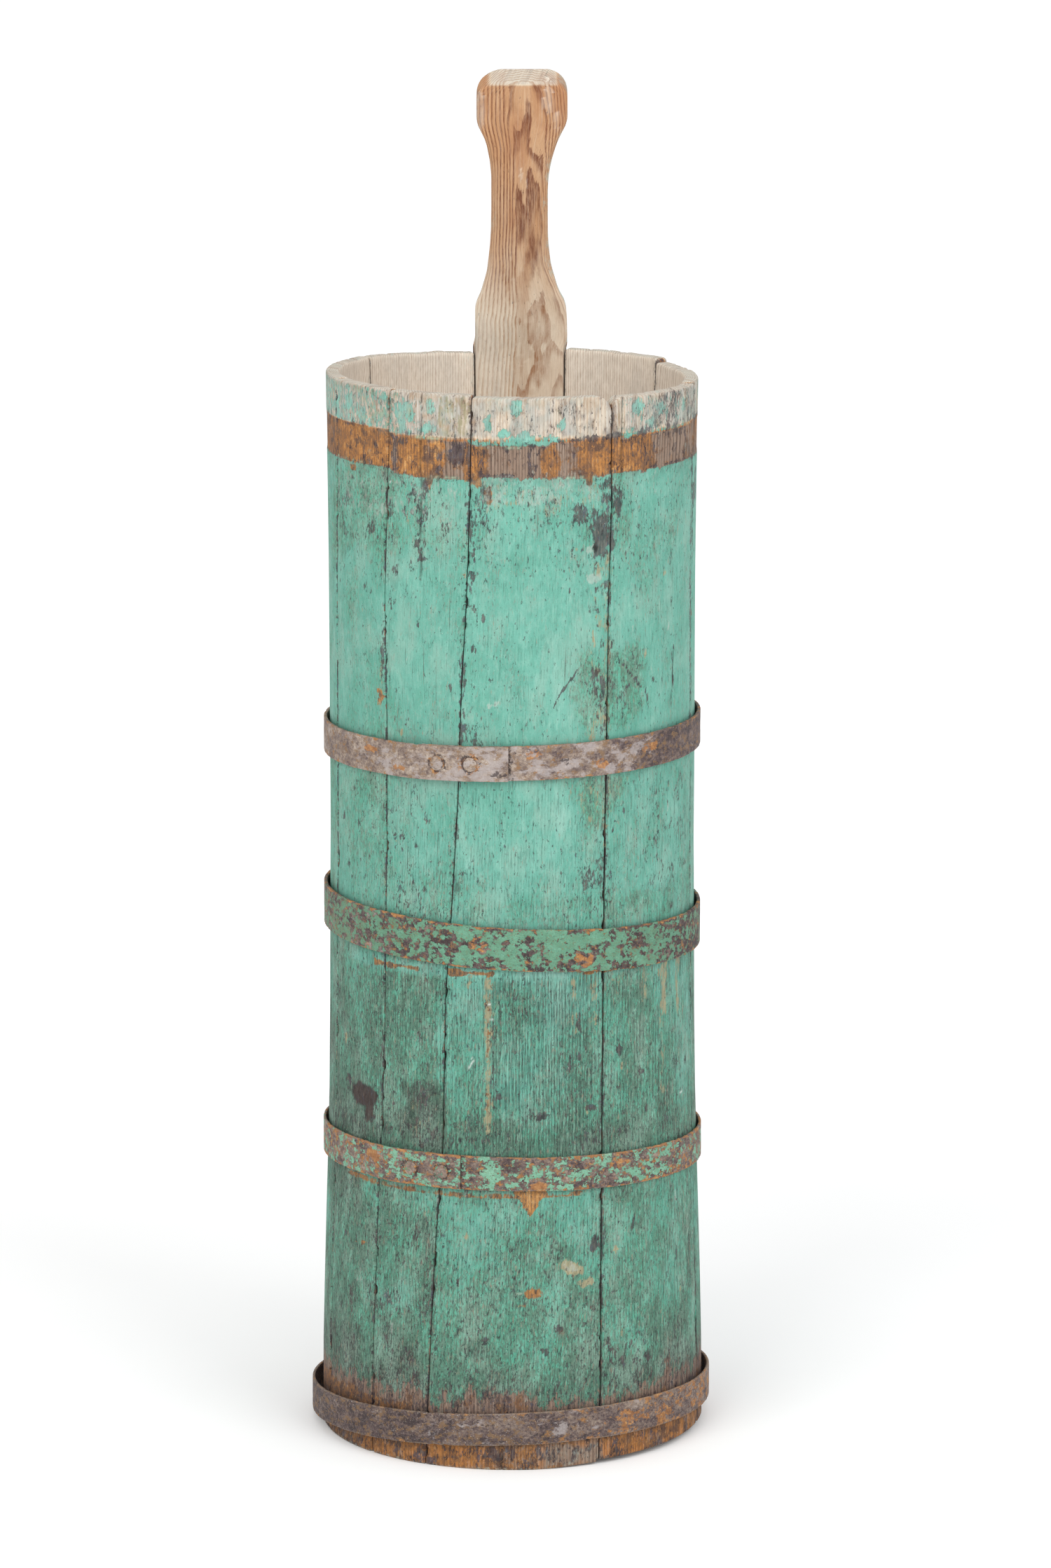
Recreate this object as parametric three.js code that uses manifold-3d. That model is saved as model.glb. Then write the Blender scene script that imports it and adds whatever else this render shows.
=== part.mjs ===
// Butter churn: a tall, narrow, open-topped barrel of nine coopered pine staves standing on a
// three-board head, bound by four riveted iron hoops. One back stave runs on above the rim and is
// carved into a waisted carrying handle.
//
// Frame: millimetres, +Z up, origin on the barrel's axis at floor level. -Y is the front, the
// handle stave stands at the back (+Y), and left and right (-X and +X) are as seen from the front.
// Angles round the barrel are in degrees, measured from the front (-Y) towards +X.
import * as THREE from "three";
import { mergeVertices } from "three/addons/utils/BufferGeometryUtils.js";
import Module from "manifold-3d";

const { degToRad, radToDeg, lerp, smoothstep } = THREE.MathUtils;

// ---------------------------------------------------------------- driving dimensions
const RIM = 740; // floor to rim
const HANDLE_TOP = 935; // floor to the top of the handle
const CLEARANCE = 0.3; // between neighbouring pieces of the head, and round rivet shanks

// [height, outer radius] of the barrel: a slight waist, widest at the foot
const OUTER_RADIUS = [
  [0, 133.6], [57, 133.0], [98, 132.0], [139, 130.8], [180, 129.6], [240, 128.0],
  [300, 127.1], [360, 126.6], [420, 126.0], [520, 126.1], [600, 126.2], [650, 126.5],
  [700, 127.0], [RIM, 127.5],
];
// [height, thickness] of a stave: thinned towards the rim
const STAVE_THICKNESS = [[0, 12], [600, 12], [700, 11], [RIM, 10]];

// croze: the groove round the inside of the staves that holds the head
const CROZE_BOTTOM = 22;
const CROZE_TOP = 36;
const CROZE_BEVEL = 3; // height of each sloping side
const CROZE_DEPTH = 4;
// [height, depth]
const CROZE_PROFILE = [
  [CROZE_BOTTOM, 0],
  [CROZE_BOTTOM + CROZE_BEVEL, CROZE_DEPTH],
  [CROZE_TOP - CROZE_BEVEL, CROZE_DEPTH],
  [CROZE_TOP, 0],
];

// heights below the rim at which every stave has a row of corners
const LEVELS_BELOW_RIM = [
  0, ...CROZE_PROFILE.map(([height]) => height),
  60, 150, 220, 330, 400, 470, 540, 600, 660, 720,
];
const LEVELS = [...LEVELS_BELOW_RIM, RIM];

// Joints between staves, in order round the barrel. line: [height, angle], which leans and wanders
// because the staves are hewn. gap: open width, greatest beside the handle and on the front right.
const JOINTS = [
  { gap: 0.4, line: [[0, -73.5], [300, -72.3], [600, -71], [700, -69], [RIM, -69.3]] },
  {
    gap: 0.3,
    line: [
      [0, -46.6], [80, -46.6], [160, -45.7], [300, -43.3], [500, -42.3], [600, -43],
      [720, -40.4], [RIM, -40],
    ],
  },
  {
    gap: 0.4,
    line: [
      [0, -26.7], [60, -25.6], [150, -24], [220, -21.8], [330, -20.9], [400, -18.7],
      [470, -16.8], [540, -15.7], [600, -14.1], [660, -13], [RIM, -12.1],
    ],
  },
  {
    gap: 0.8,
    line: [
      [0, 26.6], [60, 27.4], [120, 27.7], [220, 28.7], [340, 29.5], [420, 30],
      [540, 30.9], [600, 31.2], [660, 32], [RIM, 32],
    ],
  },
  { gap: 0.4, line: [[0, 76], [RIM, 77.6]] },
  { gap: 0.5, line: [[0, 121], [RIM, 122.4]] },
  { gap: 1.2, line: [[0, 161.2], [RIM, 162]] },
  { gap: 1.0, line: [[0, 192.2], [RIM, 192.9]] },
  { gap: 0.3, line: [[0, 236.3], [RIM, 237]] },
];

// ---------------------------------------------------------------- helpers
// Value in a column of a table whose first column is the height, held level beyond its ends.
function interpolate(rows, height, column = 1) {
  if (height <= rows[0][0]) return rows[0][column];
  const above = rows.findIndex((row) => height <= row[0]);
  if (above < 0) return rows[rows.length - 1][column];
  const lower = rows[above - 1];
  const upper = rows[above];
  const rise = upper[column] - lower[column];
  return lower[column] + (rise * (height - lower[0])) / (upper[0] - lower[0]);
}

const polar = (radius, angle, z) => [
  radius * Math.sin(degToRad(angle)),
  -radius * Math.cos(degToRad(angle)),
  z,
];

const straight = (from, to) => (across) => lerp(from, to, across);
const evenBreaks = (parts) => Array.from({ length: parts + 1 }, (_, i) => i / parts);

// A closed box whose corner grid is moved to shape(outer, position, row): outer is 0 on the inner
// face and 1 on the outer, position is one of the breaks, row counts upwards from 0.
function shapedBox(breaks, rowCount, shape) {
  const geometry = new THREE.BoxGeometry(1, 1, 1, 1, breaks.length - 1, rowCount - 1);
  const corners = geometry.attributes.position;
  for (let n = 0; n < corners.count; n++) {
    const outer = Math.round(corners.getX(n) + 0.5);
    const column = Math.round((corners.getY(n) + 0.5) * (breaks.length - 1));
    const row = Math.round((corners.getZ(n) + 0.5) * (rowCount - 1));
    corners.setXYZ(n, ...shape(outer, breaks[column], row));
  }
  geometry.computeVertexNormals();
  return geometry;
}

// ---------------------------------------------------------------- booleans
const wasm = await Module();
wasm.setup();

function toSolid(geometry) {
  const bare = geometry.clone();
  bare.deleteAttribute("normal");
  bare.deleteAttribute("uv");
  const merged = mergeVertices(bare, 1e-3);
  const mesh = new wasm.Mesh({
    numProp: 3,
    vertProperties: merged.attributes.position.array,
    triVerts: new Uint32Array(merged.index.array),
  });
  return new wasm.Manifold(mesh);
}

function toGeometry(solid) {
  const mesh = solid.getMesh();
  const positions = new Float32Array(mesh.vertProperties);
  const indexed = new THREE.BufferGeometry();
  indexed.setAttribute("position", new THREE.BufferAttribute(positions, 3));
  indexed.setIndex(new THREE.BufferAttribute(new Uint32Array(mesh.triVerts), 1));
  const flat = indexed.toNonIndexed();
  flat.computeVertexNormals();
  return flat;
}

// ---------------------------------------------------------------- finishes
const finish = (settings) => () => new THREE.MeshStandardMaterial(settings);
const greenPaint = finish({ color: "#4f9c80", roughness: 0.8, metalness: 0 });
const barePine = finish({ color: "#c39a6b", roughness: 0.85, metalness: 0 });
const oldIron = finish({ color: "#7d6a62", roughness: 0.75, metalness: 0.5 });
const paintedIron = finish({ color: "#5d7f69", roughness: 0.75, metalness: 0.3 });

const churn = new THREE.Group();
churn.name = "butter_churn";

function addGroup() {
  const group = new THREE.Group();
  churn.add(group);
  return group;
}

function addMesh(parent, name, geometry, material) {
  const mesh = new THREE.Mesh(geometry, material);
  mesh.name = name;
  parent.add(mesh);
}

// ---------------------------------------------------------------- staves
function faceRadius(outer, z) {
  const radius = interpolate(OUTER_RADIUS, z);
  if (outer) return radius;
  return radius - interpolate(STAVE_THICKNESS, z) + interpolate(CROZE_PROFILE, z);
}

// Angles of a stave's two sides, between the given joint and the next one round the barrel.
function staveSides(joint, z, radius) {
  const start = JOINTS[joint];
  const end = JOINTS[(joint + 1) % JOINTS.length];
  const turn = joint + 1 === JOINTS.length ? 360 : 0; // the last stave closes the ring
  const halfGap = ({ gap }) => radToDeg(gap / 2 / radius);
  return [
    interpolate(start.line, z) + halfGap(start),
    interpolate(end.line, z) + turn - halfGap(end),
  ];
}

// How far a rounded corner falls at a distance from the stave's side.
function cornerDrop(distance, radius) {
  if (distance >= radius) return 0;
  return radius - Math.sqrt(radius * radius - (radius - distance) ** 2);
}

// joint: index of the joint the stave starts at.
// top, bottom: end height as a function of the fraction across, from the first joint to the next.
// breaks: fractions across at which the faces bend.
// corners: radii of the top corners, at the first joint and at the next.
function stave({ joint, top, bottom = straight(0, 0), breaks, corners = [0, 0] }) {
  return shapedBox(breaks, LEVELS.length, (outer, across, row) => {
    let z = LEVELS[row];
    const radius = faceRadius(outer, z);
    const [start, end] = staveSides(joint, z, radius);
    if (row === LEVELS.length - 1) {
      const width = degToRad(end - start) * radius;
      z = top(across);
      z -= cornerDrop(across * width, corners[0]);
      z -= cornerDrop((1 - across) * width, corners[1]);
    }
    if (row === 0) z = bottom(across);
    return polar(radius, lerp(start, end, across), z);
  });
}

const STAVES = {
  stave_front_left: { joint: 1, top: straight(741.5, 741.5), breaks: evenBreaks(3) },
  stave_front: {
    joint: 2,
    top: straight(RIM, 739),
    bottom: (across) => 1.6 * smoothstep(across, 0.62, 1),
    breaks: [0, 0.2, 0.4, 0.6, 0.78, 0.88, 0.93, 0.97, 1],
    corners: [0, 12],
  },
  stave_front_right: {
    joint: 3,
    top: straight(738, 736),
    bottom: straight(3, 3.5),
    breaks: [0, 0.03, 0.08, 0.18, 0.38, 0.58, 0.79, 1],
    corners: [8, 0],
  },
  stave_right: {
    joint: 4,
    top: straight(737, 738),
    bottom: straight(3.5, 0.5),
    breaks: evenBreaks(5),
  },
  stave_back_right: { joint: 5, top: straight(740.7, 740.7), breaks: evenBreaks(4) },
  stave_back_left: { joint: 7, top: straight(738, 741.8), breaks: evenBreaks(5) },
  stave_left: { joint: 8, top: straight(742, 742), breaks: evenBreaks(5) },
  stave_left_front: { joint: 0, top: straight(742, 742), breaks: evenBreaks(3) },
};

const staves = addGroup();
for (const [name, spec] of Object.entries(STAVES)) addMesh(staves, name, stave(spec), greenPaint());

// ---------------------------------------------------------------- handle stave
const HANDLE_JOINT = 6;
// [height, X of the left edge, X of the right edge]
const HANDLE_OUTLINE = [
  [746, -26.1, 38.5], [762, -26.1, 38.2], [769, -26.1, 37.6], [774, -24.6, 36.2],
  [779, -22.2, 33.2], [784, -20.7, 31.2], [789, -19.2, 29.8], [794, -17.9, 28.3],
  [799, -17.2, 27.0], [806, -16.4, 26.1], [813, -15.6, 25.3], [823, -15.0, 24.8],
  [838, -14.7, 24.8], [853, -14.7, 24.8], [862, -14.7, 25.4], [867, -15.2, 26.3],
  [872, -15.7, 27.3], [877, -16.7, 28.7], [882, -17.6, 30.2], [887, -19.1, 32.1],
  [892, -21.5, 34.5], [896.5, -23.9, 37.0], [901.5, -24.9, 38.4], [921, -24.9, 38.4],
  [926, -23.6, 37.4], [930, -20.8, 35.0], [933, -16.5, 31.6], [HANDLE_TOP, -10.5, 26.0],
];
const HANDLE_LEVELS = [...LEVELS_BELOW_RIM, 735, ...HANDLE_OUTLINE.map(([height]) => height)];
const HANDLE_BREAKS = [0, 0.11, 0.3, 0.5, 0.7, 0.89, 1];
const HANDLE_FRONT = 114; // Y of the inner face
const HANDLE_BACK = 134.5; // Y of the outer face
const HANDLE_BEVEL = 4.5; // taken off each long edge
const FLATTEN_FROM = 728; // heights between which the faces go from curved to flat
const FLATTEN_TO = 768;
const SIDE_BLEND = 10; // height above the rim over which the sides reach the outline
const TOP_FALL = 8; // the top end falls this much towards the front
const TOP_FALL_FROM = 905; // height at which the front face starts to fall

// An ordinary stave up to near the rim, where it thickens, loses its curve and then narrows to a
// waisted grip under a wider head.
function handleStave() {
  return shapedBox(HANDLE_BREAKS, HANDLE_LEVELS.length, (outer, across, row) => {
    const z = HANDLE_LEVELS[row];
    const barrelZ = Math.min(z, RIM);
    const radius = faceRadius(outer, barrelZ);
    const [start, end] = staveSides(HANDLE_JOINT, barrelZ, radius);
    const [curvedX, curvedY] = polar(radius, lerp(start, end, across), z);

    const left = interpolate(HANDLE_OUTLINE, z, 1);
    const right = interpolate(HANDLE_OUTLINE, z, 2);
    const bevel = across === 0 || across === 1 ? HANDLE_BEVEL : 0;
    const flatX = lerp(right, left, across);
    const flatY = outer ? HANDLE_BACK - bevel : HANDLE_FRONT + bevel;

    const fall = outer ? 0 : TOP_FALL * smoothstep(z, TOP_FALL_FROM, HANDLE_TOP);
    return [
      lerp(curvedX, flatX, smoothstep(z, RIM, RIM + SIDE_BLEND)),
      lerp(curvedY, flatY, smoothstep(z, FLATTEN_FROM, FLATTEN_TO)),
      z - fall,
    ];
  });
}
addMesh(staves, "handle_stave", handleStave(), barePine());

// ---------------------------------------------------------------- head
// The bottom: three boards held edge to edge by dowels, laid out along X and then turned.
const HEAD_RADIUS = 124.3;
const HEAD_FACE_RADIUS = 120.2; // where the bevel starts
const HEAD_SEAMS = { front: -43, back: 37 }; // Y of the seams between the boards
const HEAD_TURN = 12; // degrees from +X to the boards' length
const HEAD_MIDDLE = (CROZE_BOTTOM + CROZE_TOP) / 2;
const BLANK_REACH = 150; // half the length of an uncut board, beyond the head's edge
const BLANK_HEIGHT = 60;
const DOWEL_DIAMETER = 7;
const DOWEL_LENGTH = 34;
const DOWEL_PLACES = { left: -62, right: 58 }; // X along each seam

const dowels = Object.entries(HEAD_SEAMS).flatMap(([side, y]) =>
  Object.entries(DOWEL_PLACES).map(([hand, x]) => ({ name: `head_dowel_${side}_${hand}`, x, y })),
);

// A dowel, or with clearance the hole for one.
function dowelShape({ x, y }, clearance = 0) {
  const radius = DOWEL_DIAMETER / 2 + clearance;
  const length = DOWEL_LENGTH + 2 * clearance;
  return new THREE.CylinderGeometry(radius, radius, length, 16).translate(x, y, HEAD_MIDDLE);
}

function headDisc() {
  const profile = [
    [0, CROZE_BOTTOM + CLEARANCE],
    [HEAD_FACE_RADIUS, CROZE_BOTTOM + CLEARANCE],
    [HEAD_RADIUS, CROZE_BOTTOM + CROZE_BEVEL + CLEARANCE],
    [HEAD_RADIUS, CROZE_TOP - CROZE_BEVEL - CLEARANCE],
    [HEAD_FACE_RADIUS, CROZE_TOP - CLEARANCE],
    [0, CROZE_TOP - CLEARANCE],
  ].map(([radius, z]) => new THREE.Vector2(radius, z));
  return toSolid(new THREE.LatheGeometry(profile, 60).rotateX(Math.PI / 2));
}
const disc = headDisc();
const dowelHoles = dowels.map((dowel) => toSolid(dowelShape(dowel, CLEARANCE)));

function headBoard(frontY, backY) {
  const blank = new THREE.BoxGeometry(2 * BLANK_REACH, backY - frontY, BLANK_HEIGHT)
    .translate(0, (frontY + backY) / 2, HEAD_MIDDLE);
  let board = disc.intersect(toSolid(blank));
  for (const hole of dowelHoles) board = board.subtract(hole);
  return toGeometry(board).rotateZ(degToRad(HEAD_TURN));
}

const head = addGroup();
const halfSeam = CLEARANCE / 2;
const BOARD_EDGES = {
  front: [-BLANK_REACH, HEAD_SEAMS.front - halfSeam],
  middle: [HEAD_SEAMS.front + halfSeam, HEAD_SEAMS.back - halfSeam],
  back: [HEAD_SEAMS.back + halfSeam, BLANK_REACH],
};
for (const [place, edges] of Object.entries(BOARD_EDGES)) {
  addMesh(head, `head_board_${place}`, headBoard(...edges), barePine());
}
for (const dowel of dowels) {
  addMesh(head, dowel.name, dowelShape(dowel).rotateZ(degToRad(HEAD_TURN)), barePine());
}

// ---------------------------------------------------------------- hoops and their rivets
// inner: inner radius. centre: of the hoop. slope: rise of its plane along X and along Y.
// lap: angles of the hidden inner end and of the outer end. rivets: their angles.
const HOOPS = {
  upper_hoop: {
    inner: 127.6, thick: 2.3, width: 24, centre: [0, 0, 493], slope: [0.018, 0],
    lap: [-28, -1], rivets: [-22.4, -12.2], material: oldIron,
  },
  second_hoop: {
    inner: 128.0, thick: 2.4, width: 29.5, centre: [0, 0, 365], slope: [-0.054, 0],
    lap: [166, 196], rivets: [174, 186], material: paintedIron,
  },
  third_hoop: {
    inner: 129.95, thick: 1.9, width: 24, centre: [0, 0, 204], slope: [-0.016, -0.038],
    lap: [-37, -15.3], rivets: [-31, -21], material: paintedIron,
  },
  bottom_hoop: {
    inner: 137.7, thick: 2.0, width: 23, centre: [-1.2, 3.0, 21.4], slope: [0.033, -0.061],
    lap: [148, 178], rivets: [156, 168], material: oldIron,
  },
};
const LAP_CLEARANCE = 0.2; // between the two layers of a lap
const LAP_RAMP = 14; // degrees over which the outer layer rises onto the inner one
const LAP_RAMP_LEAD = 2; // degrees from the end of the rise to the hidden end
const HOOP_STEP = 5; // degrees per facet
const SHORTEST_FACET = 0.5; // degrees
const SHANK_RADIUS = 4.8 / 2;
const SHANK_INSET = 0.1; // from the hoop's inner face to the shank's end
const RIVET_HEAD_RADIUS = 10 / 2;
const RIVET_HEAD_HEIGHT = 1.6;
const RIVET_HEAD_CLEARANCE = 0.2; // between the lap and the rivet head
const RIVET_HOLE_LENGTH = 16;

// A point on the hoop, at a height above the hoop's sloping plane.
function onHoop({ slope }, radius, angle, height) {
  const [x, y] = polar(radius, angle, 0);
  return [x, y, slope[0] * x + slope[1] * y + height];
}

// The strip of iron: a full turn plus the lap.
function hoopStrap(hoop) {
  const { inner, thick, width, lap } = hoop;
  const start = lap[0];
  const end = lap[1] + 360;
  // facets fall on multiples of the step, so that both layers of the lap match
  const angles = [start];
  const firstStep = Math.ceil(start / HOOP_STEP) * HOOP_STEP;
  for (let angle = firstStep; angle < end - SHORTEST_FACET; angle += HOOP_STEP) {
    if (angle > start + SHORTEST_FACET) angles.push(angle);
  }
  angles.push(end);

  const rampStart = start + 360 - LAP_RAMP - LAP_RAMP_LEAD;
  return shapedBox(angles, 2, (outer, angle, row) => {
    const ramp = smoothstep(angle, rampStart, rampStart + LAP_RAMP);
    const radius = inner + (thick + LAP_CLEARANCE) * ramp + outer * thick;
    return onHoop(hoop, radius, angle, (row - 0.5) * width);
  });
}

// Turns a shape lying along +Y to an angle and lifts it onto the hoop's plane.
function placeOnHoop(geometry, hoop, angle) {
  const [, , z] = onHoop(hoop, hoop.inner, angle, 0);
  return geometry.rotateZ(degToRad(angle) + Math.PI).translate(0, 0, z);
}

function rivetHole({ inner, thick }) {
  const radius = SHANK_RADIUS + CLEARANCE;
  return new THREE.CylinderGeometry(radius, radius, RIVET_HOLE_LENGTH, 16)
    .translate(0, inner + thick, 0);
}

function rivet({ inner, thick }) {
  const base = inner + SHANK_INSET;
  const seat = inner + 2 * thick + LAP_CLEARANCE + RIVET_HEAD_CLEARANCE; // underside of the head
  const profile = [
    [0, base],
    [SHANK_RADIUS, base],
    [SHANK_RADIUS, seat],
    [RIVET_HEAD_RADIUS, seat],
    [RIVET_HEAD_RADIUS, seat + 0.35 * RIVET_HEAD_HEIGHT],
    [0.72 * RIVET_HEAD_RADIUS, seat + 0.85 * RIVET_HEAD_HEIGHT],
    [0, seat + RIVET_HEAD_HEIGHT],
  ].map(([radius, y]) => new THREE.Vector2(radius, y));
  return new THREE.LatheGeometry(profile, 14);
}

for (const [name, hoop] of Object.entries(HOOPS)) {
  const assembly = addGroup();
  assembly.position.set(...hoop.centre);
  let strap = toSolid(hoopStrap(hoop));
  hoop.rivets.forEach((angle, n) => {
    strap = strap.subtract(toSolid(placeOnHoop(rivetHole(hoop), hoop, angle)));
    const rivetName = `${name}_rivet_${"ab"[n]}`;
    addMesh(assembly, rivetName, placeOnHoop(rivet(hoop), hoop, angle), oldIron());
  });
  addMesh(assembly, name, toGeometry(strap), hoop.material());
}

export default churn;
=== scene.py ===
# Butter churn: a tapering barrel of nine painted staves, one rising at the back into a bare handle,
# bound by four iron hoops, with a floor of three boards. It stands on z = 0 round the z axis, and
# its front faces -Y. Lengths are in millimetres until a mesh is made. Angles are in degrees,
# measured from the front (-Y) towards +X.
import math
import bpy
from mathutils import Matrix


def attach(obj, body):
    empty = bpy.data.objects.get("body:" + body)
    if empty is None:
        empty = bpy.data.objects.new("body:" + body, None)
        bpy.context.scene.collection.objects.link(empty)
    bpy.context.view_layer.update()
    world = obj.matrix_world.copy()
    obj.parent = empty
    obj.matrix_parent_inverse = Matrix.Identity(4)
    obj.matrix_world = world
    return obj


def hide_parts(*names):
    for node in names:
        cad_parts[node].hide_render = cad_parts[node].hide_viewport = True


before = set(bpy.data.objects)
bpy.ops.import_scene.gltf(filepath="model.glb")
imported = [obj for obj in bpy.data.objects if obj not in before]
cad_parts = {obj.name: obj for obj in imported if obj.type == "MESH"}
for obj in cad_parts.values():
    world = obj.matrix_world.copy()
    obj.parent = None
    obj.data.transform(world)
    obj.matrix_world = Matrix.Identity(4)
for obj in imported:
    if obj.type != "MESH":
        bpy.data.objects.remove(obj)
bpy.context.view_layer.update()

from types import SimpleNamespace as Group

import bpy
import numpy as np
from mathutils import Vector


# ---------------------------------------------------------------- driving dimensions
BARREL_HEIGHT = 740.0
REFERENCE_RADIUS = 126.0  # where depth in the wood is measured from
ARC = 2.217  # millimetres of surface per degree
OUTER_RADIUS = [  # height, radius
    (0, 133.6), (57, 133.0), (98, 132.0), (139, 130.8), (180, 129.6), (240, 128.0), (300, 127.1),
    (360, 126.6), (420, 126.0), (520, 126.1), (600, 126.2), (650, 126.5), (700, 127.0),
    (740, 127.5)]
THICKNESS = [(0, 12), (600, 12), (700, 11), (740, 10)]  # height, thickness
JOINTS = {  # height, angle
    "j1": [(0, -73.5), (300, -72.3), (600, -71), (700, -69), (740, -69.3)],
    "j2": [(0, -46.6), (80, -46.6), (160, -45.7), (300, -43.3), (500, -42.3), (600, -43),
           (720, -40.4), (740, -40)],
    "j3": [(0, -26.7), (60, -25.6), (150, -24), (220, -21.8), (330, -20.9), (400, -18.7),
           (470, -16.8), (540, -15.7), (600, -14.1), (660, -13), (740, -12.1)],
    "j4": [(0, 26.6), (60, 27.4), (120, 27.7), (220, 28.7), (340, 29.5), (420, 30), (540, 30.9),
           (600, 31.2), (660, 32), (740, 32)],
    "j5": [(0, 76), (740, 77.6)],
    "j6": [(0, 121), (740, 122.4)],
    "j7": [(0, 161.2), (740, 162)],
    "j8": [(0, 192.2), (740, 192.9)],
    "j9": [(0, 236.3), (740, 237)],
}
JOINTS["j1b"] = [(z, angle + 360) for z, angle in JOINTS["j1"]]  # j1 again, one turn on
GAPS = {"j1": 0.5, "j2": 0.3, "j3": 0.4, "j4": 0.8, "j5": 0.4, "j6": 0.5, "j7": 1.2, "j8": 1.0,
        "j9": 0.3, "j1b": 0.5}
HANDLE_OUTLINE = [  # height, x of the -X edge, x of the +X edge
    (746, -26.1, 38.5), (762, -26.1, 38.2), (769, -26.1, 37.6), (774, -24.6, 36.2),
    (779, -22.2, 33.2), (784, -20.7, 31.2), (789, -19.2, 29.8), (794, -17.9, 28.3),
    (799, -17.2, 27.0), (806, -16.4, 26.1), (813, -15.6, 25.3), (823, -15.0, 24.8),
    (838, -14.7, 24.8), (853, -14.7, 24.8), (862, -14.7, 25.4), (867, -15.2, 26.3),
    (872, -15.7, 27.3), (877, -16.7, 28.7), (882, -17.6, 30.2), (887, -19.1, 32.1),
    (892, -21.5, 34.5), (896.5, -23.9, 37.0), (901.5, -24.9, 38.4), (921, -24.9, 38.4),
    (926, -23.6, 37.4), (930, -20.8, 35.0), (933, -16.5, 31.6), (935, -10.5, 26.0)]
HANDLE_FRONT, HANDLE_BACK, HANDLE_TOP = 114.0, 134.5, 935.0
# tilt_x and tilt_y are the rise per millimetre along x and y; start and end are angles, the end
# lapping over the start after a full turn
HOOPS = {
    "upper_hoop": Group(inner=127.6, thick=2.3, width=24, z=493, tilt_x=0.018, tilt_y=0.0,
                        x=0, y=0, start=-28, end=-1, rivets=(-22.4, -12.2)),
    "second_hoop": Group(inner=128.0, thick=2.4, width=29.5, z=365, tilt_x=-0.054, tilt_y=0.0,
                         x=0, y=0, start=166, end=196, rivets=(174, 186)),
    "third_hoop": Group(inner=129.95, thick=1.9, width=24, z=204, tilt_x=-0.016, tilt_y=-0.038,
                        x=0, y=0, start=-37, end=-15.3, rivets=(-31, -21)),
    "bottom_hoop": Group(inner=137.7, thick=2.0, width=23, z=21.4, tilt_x=0.033, tilt_y=-0.061,
                         x=-1.2, y=3.0, start=148, end=178, rivets=(156, 168)),
}


# ---------------------------------------------------------------- curves and seeded noise
def lookup(rows, x):
    table = np.array(rows, float)
    return np.interp(x, table[:, 0], table[:, 1])


def ease(low, high, x):
    """0 at low, 1 at high, smooth between; low may be the greater."""
    t = np.clip((np.asarray(x, float) - low) / (high - low), 0, 1)
    return t * t * (3 - 2 * t)


def bell(x, width):
    return np.exp(-(x / width) ** 2)


def lattice(column, row, seed):
    """A random number from 0 to 1 for each whole-numbered grid point."""
    with np.errstate(over="ignore"):
        n = column.astype(np.int64).astype(np.uint64) * np.uint64(0x9E3779B97F4A7C15)
        n ^= row.astype(np.int64).astype(np.uint64) * np.uint64(0xC2B2AE3D27D4EB4F)
        n ^= np.uint64(seed * 2654435761 + 12345)
        n ^= n >> np.uint64(29)
        n *= np.uint64(0xBF58476D1CE4E5B9)
        n ^= n >> np.uint64(32)
        n *= np.uint64(0x94D049BB133111EB)
        n ^= n >> np.uint64(31)
    return (n >> np.uint64(11)).astype(np.float64) / float(1 << 53)


def value_noise(x, y, seed):
    x, y = np.broadcast_arrays(x, y)
    left, low = np.floor(x), np.floor(y)
    s, t = x - left, y - low
    s = s * s * s * (s * (s * 6 - 15) + 10)
    t = t * t * t * (t * (t * 6 - 15) + 10)
    a, b = lattice(left, low, seed), lattice(left + 1, low, seed)
    c, d = lattice(left, low + 1, seed), lattice(left + 1, low + 1, seed)
    return a + (b - a) * s + (c - a) * t + (a - b - c + d) * s * t


def fractal(x, y, seed, octaves=4):
    """Value noise summed over octaves, each finer and half as strong; 0 to 1."""
    total, strength, whole = 0.0, 1.0, 0.0
    x, y = np.asarray(x, float), np.asarray(y, float)
    for i in range(octaves):
        total = total + strength * value_noise(x, y, seed * 17 + i)
        whole += strength
        strength *= 0.5
        x, y = x * 2.03 + 11.7, y * 2.03 + 5.3
    return total / whole


# ---------------------------------------------------------------- meshes
def new_mesh(name, points, quads, polys, smooth=True):
    """points: (n, 3) in millimetres; quads: (m, 4) indices; polys: further faces as lists."""
    sizes = [4] * len(quads) + [len(p) for p in polys]
    loops = np.concatenate([np.asarray(quads, np.int32).ravel()]
                           + [np.asarray(p, np.int32) for p in polys])
    mesh = bpy.data.meshes.new(name)
    mesh.vertices.add(len(points))
    metres = (np.asarray(points, np.float64) / 1000.0).astype(np.float32)
    mesh.vertices.foreach_set("co", metres.ravel())
    mesh.loops.add(len(loops))
    mesh.loops.foreach_set("vertex_index", loops)
    mesh.polygons.add(len(sizes))
    starts = np.concatenate([[0], np.cumsum(sizes)[:-1]]).astype(np.int32)
    mesh.polygons.foreach_set("loop_start", starts)
    mesh.polygons.foreach_set("use_smooth", np.full(len(sizes), smooth, bool))
    mesh.update(calc_edges=True)
    mesh.validate()
    ob = bpy.data.objects.new(name, mesh)
    bpy.context.scene.collection.objects.link(ob)
    return ob


def ring_quads(rings, count):
    """Quads between successive closed rings of count points each."""
    k = np.arange(rings - 1)[:, None] * count
    i = np.arange(count)[None, :]
    j = (i + 1) % count
    return np.stack([k + i, k + j, k + count + j, k + count + i], -1).reshape(-1, 4)


ATTRIBUTE_KINDS = {1: ("FLOAT", "value"), 3: ("FLOAT_VECTOR", "vector"), 4: ("FLOAT_COLOR", "color")}


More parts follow.
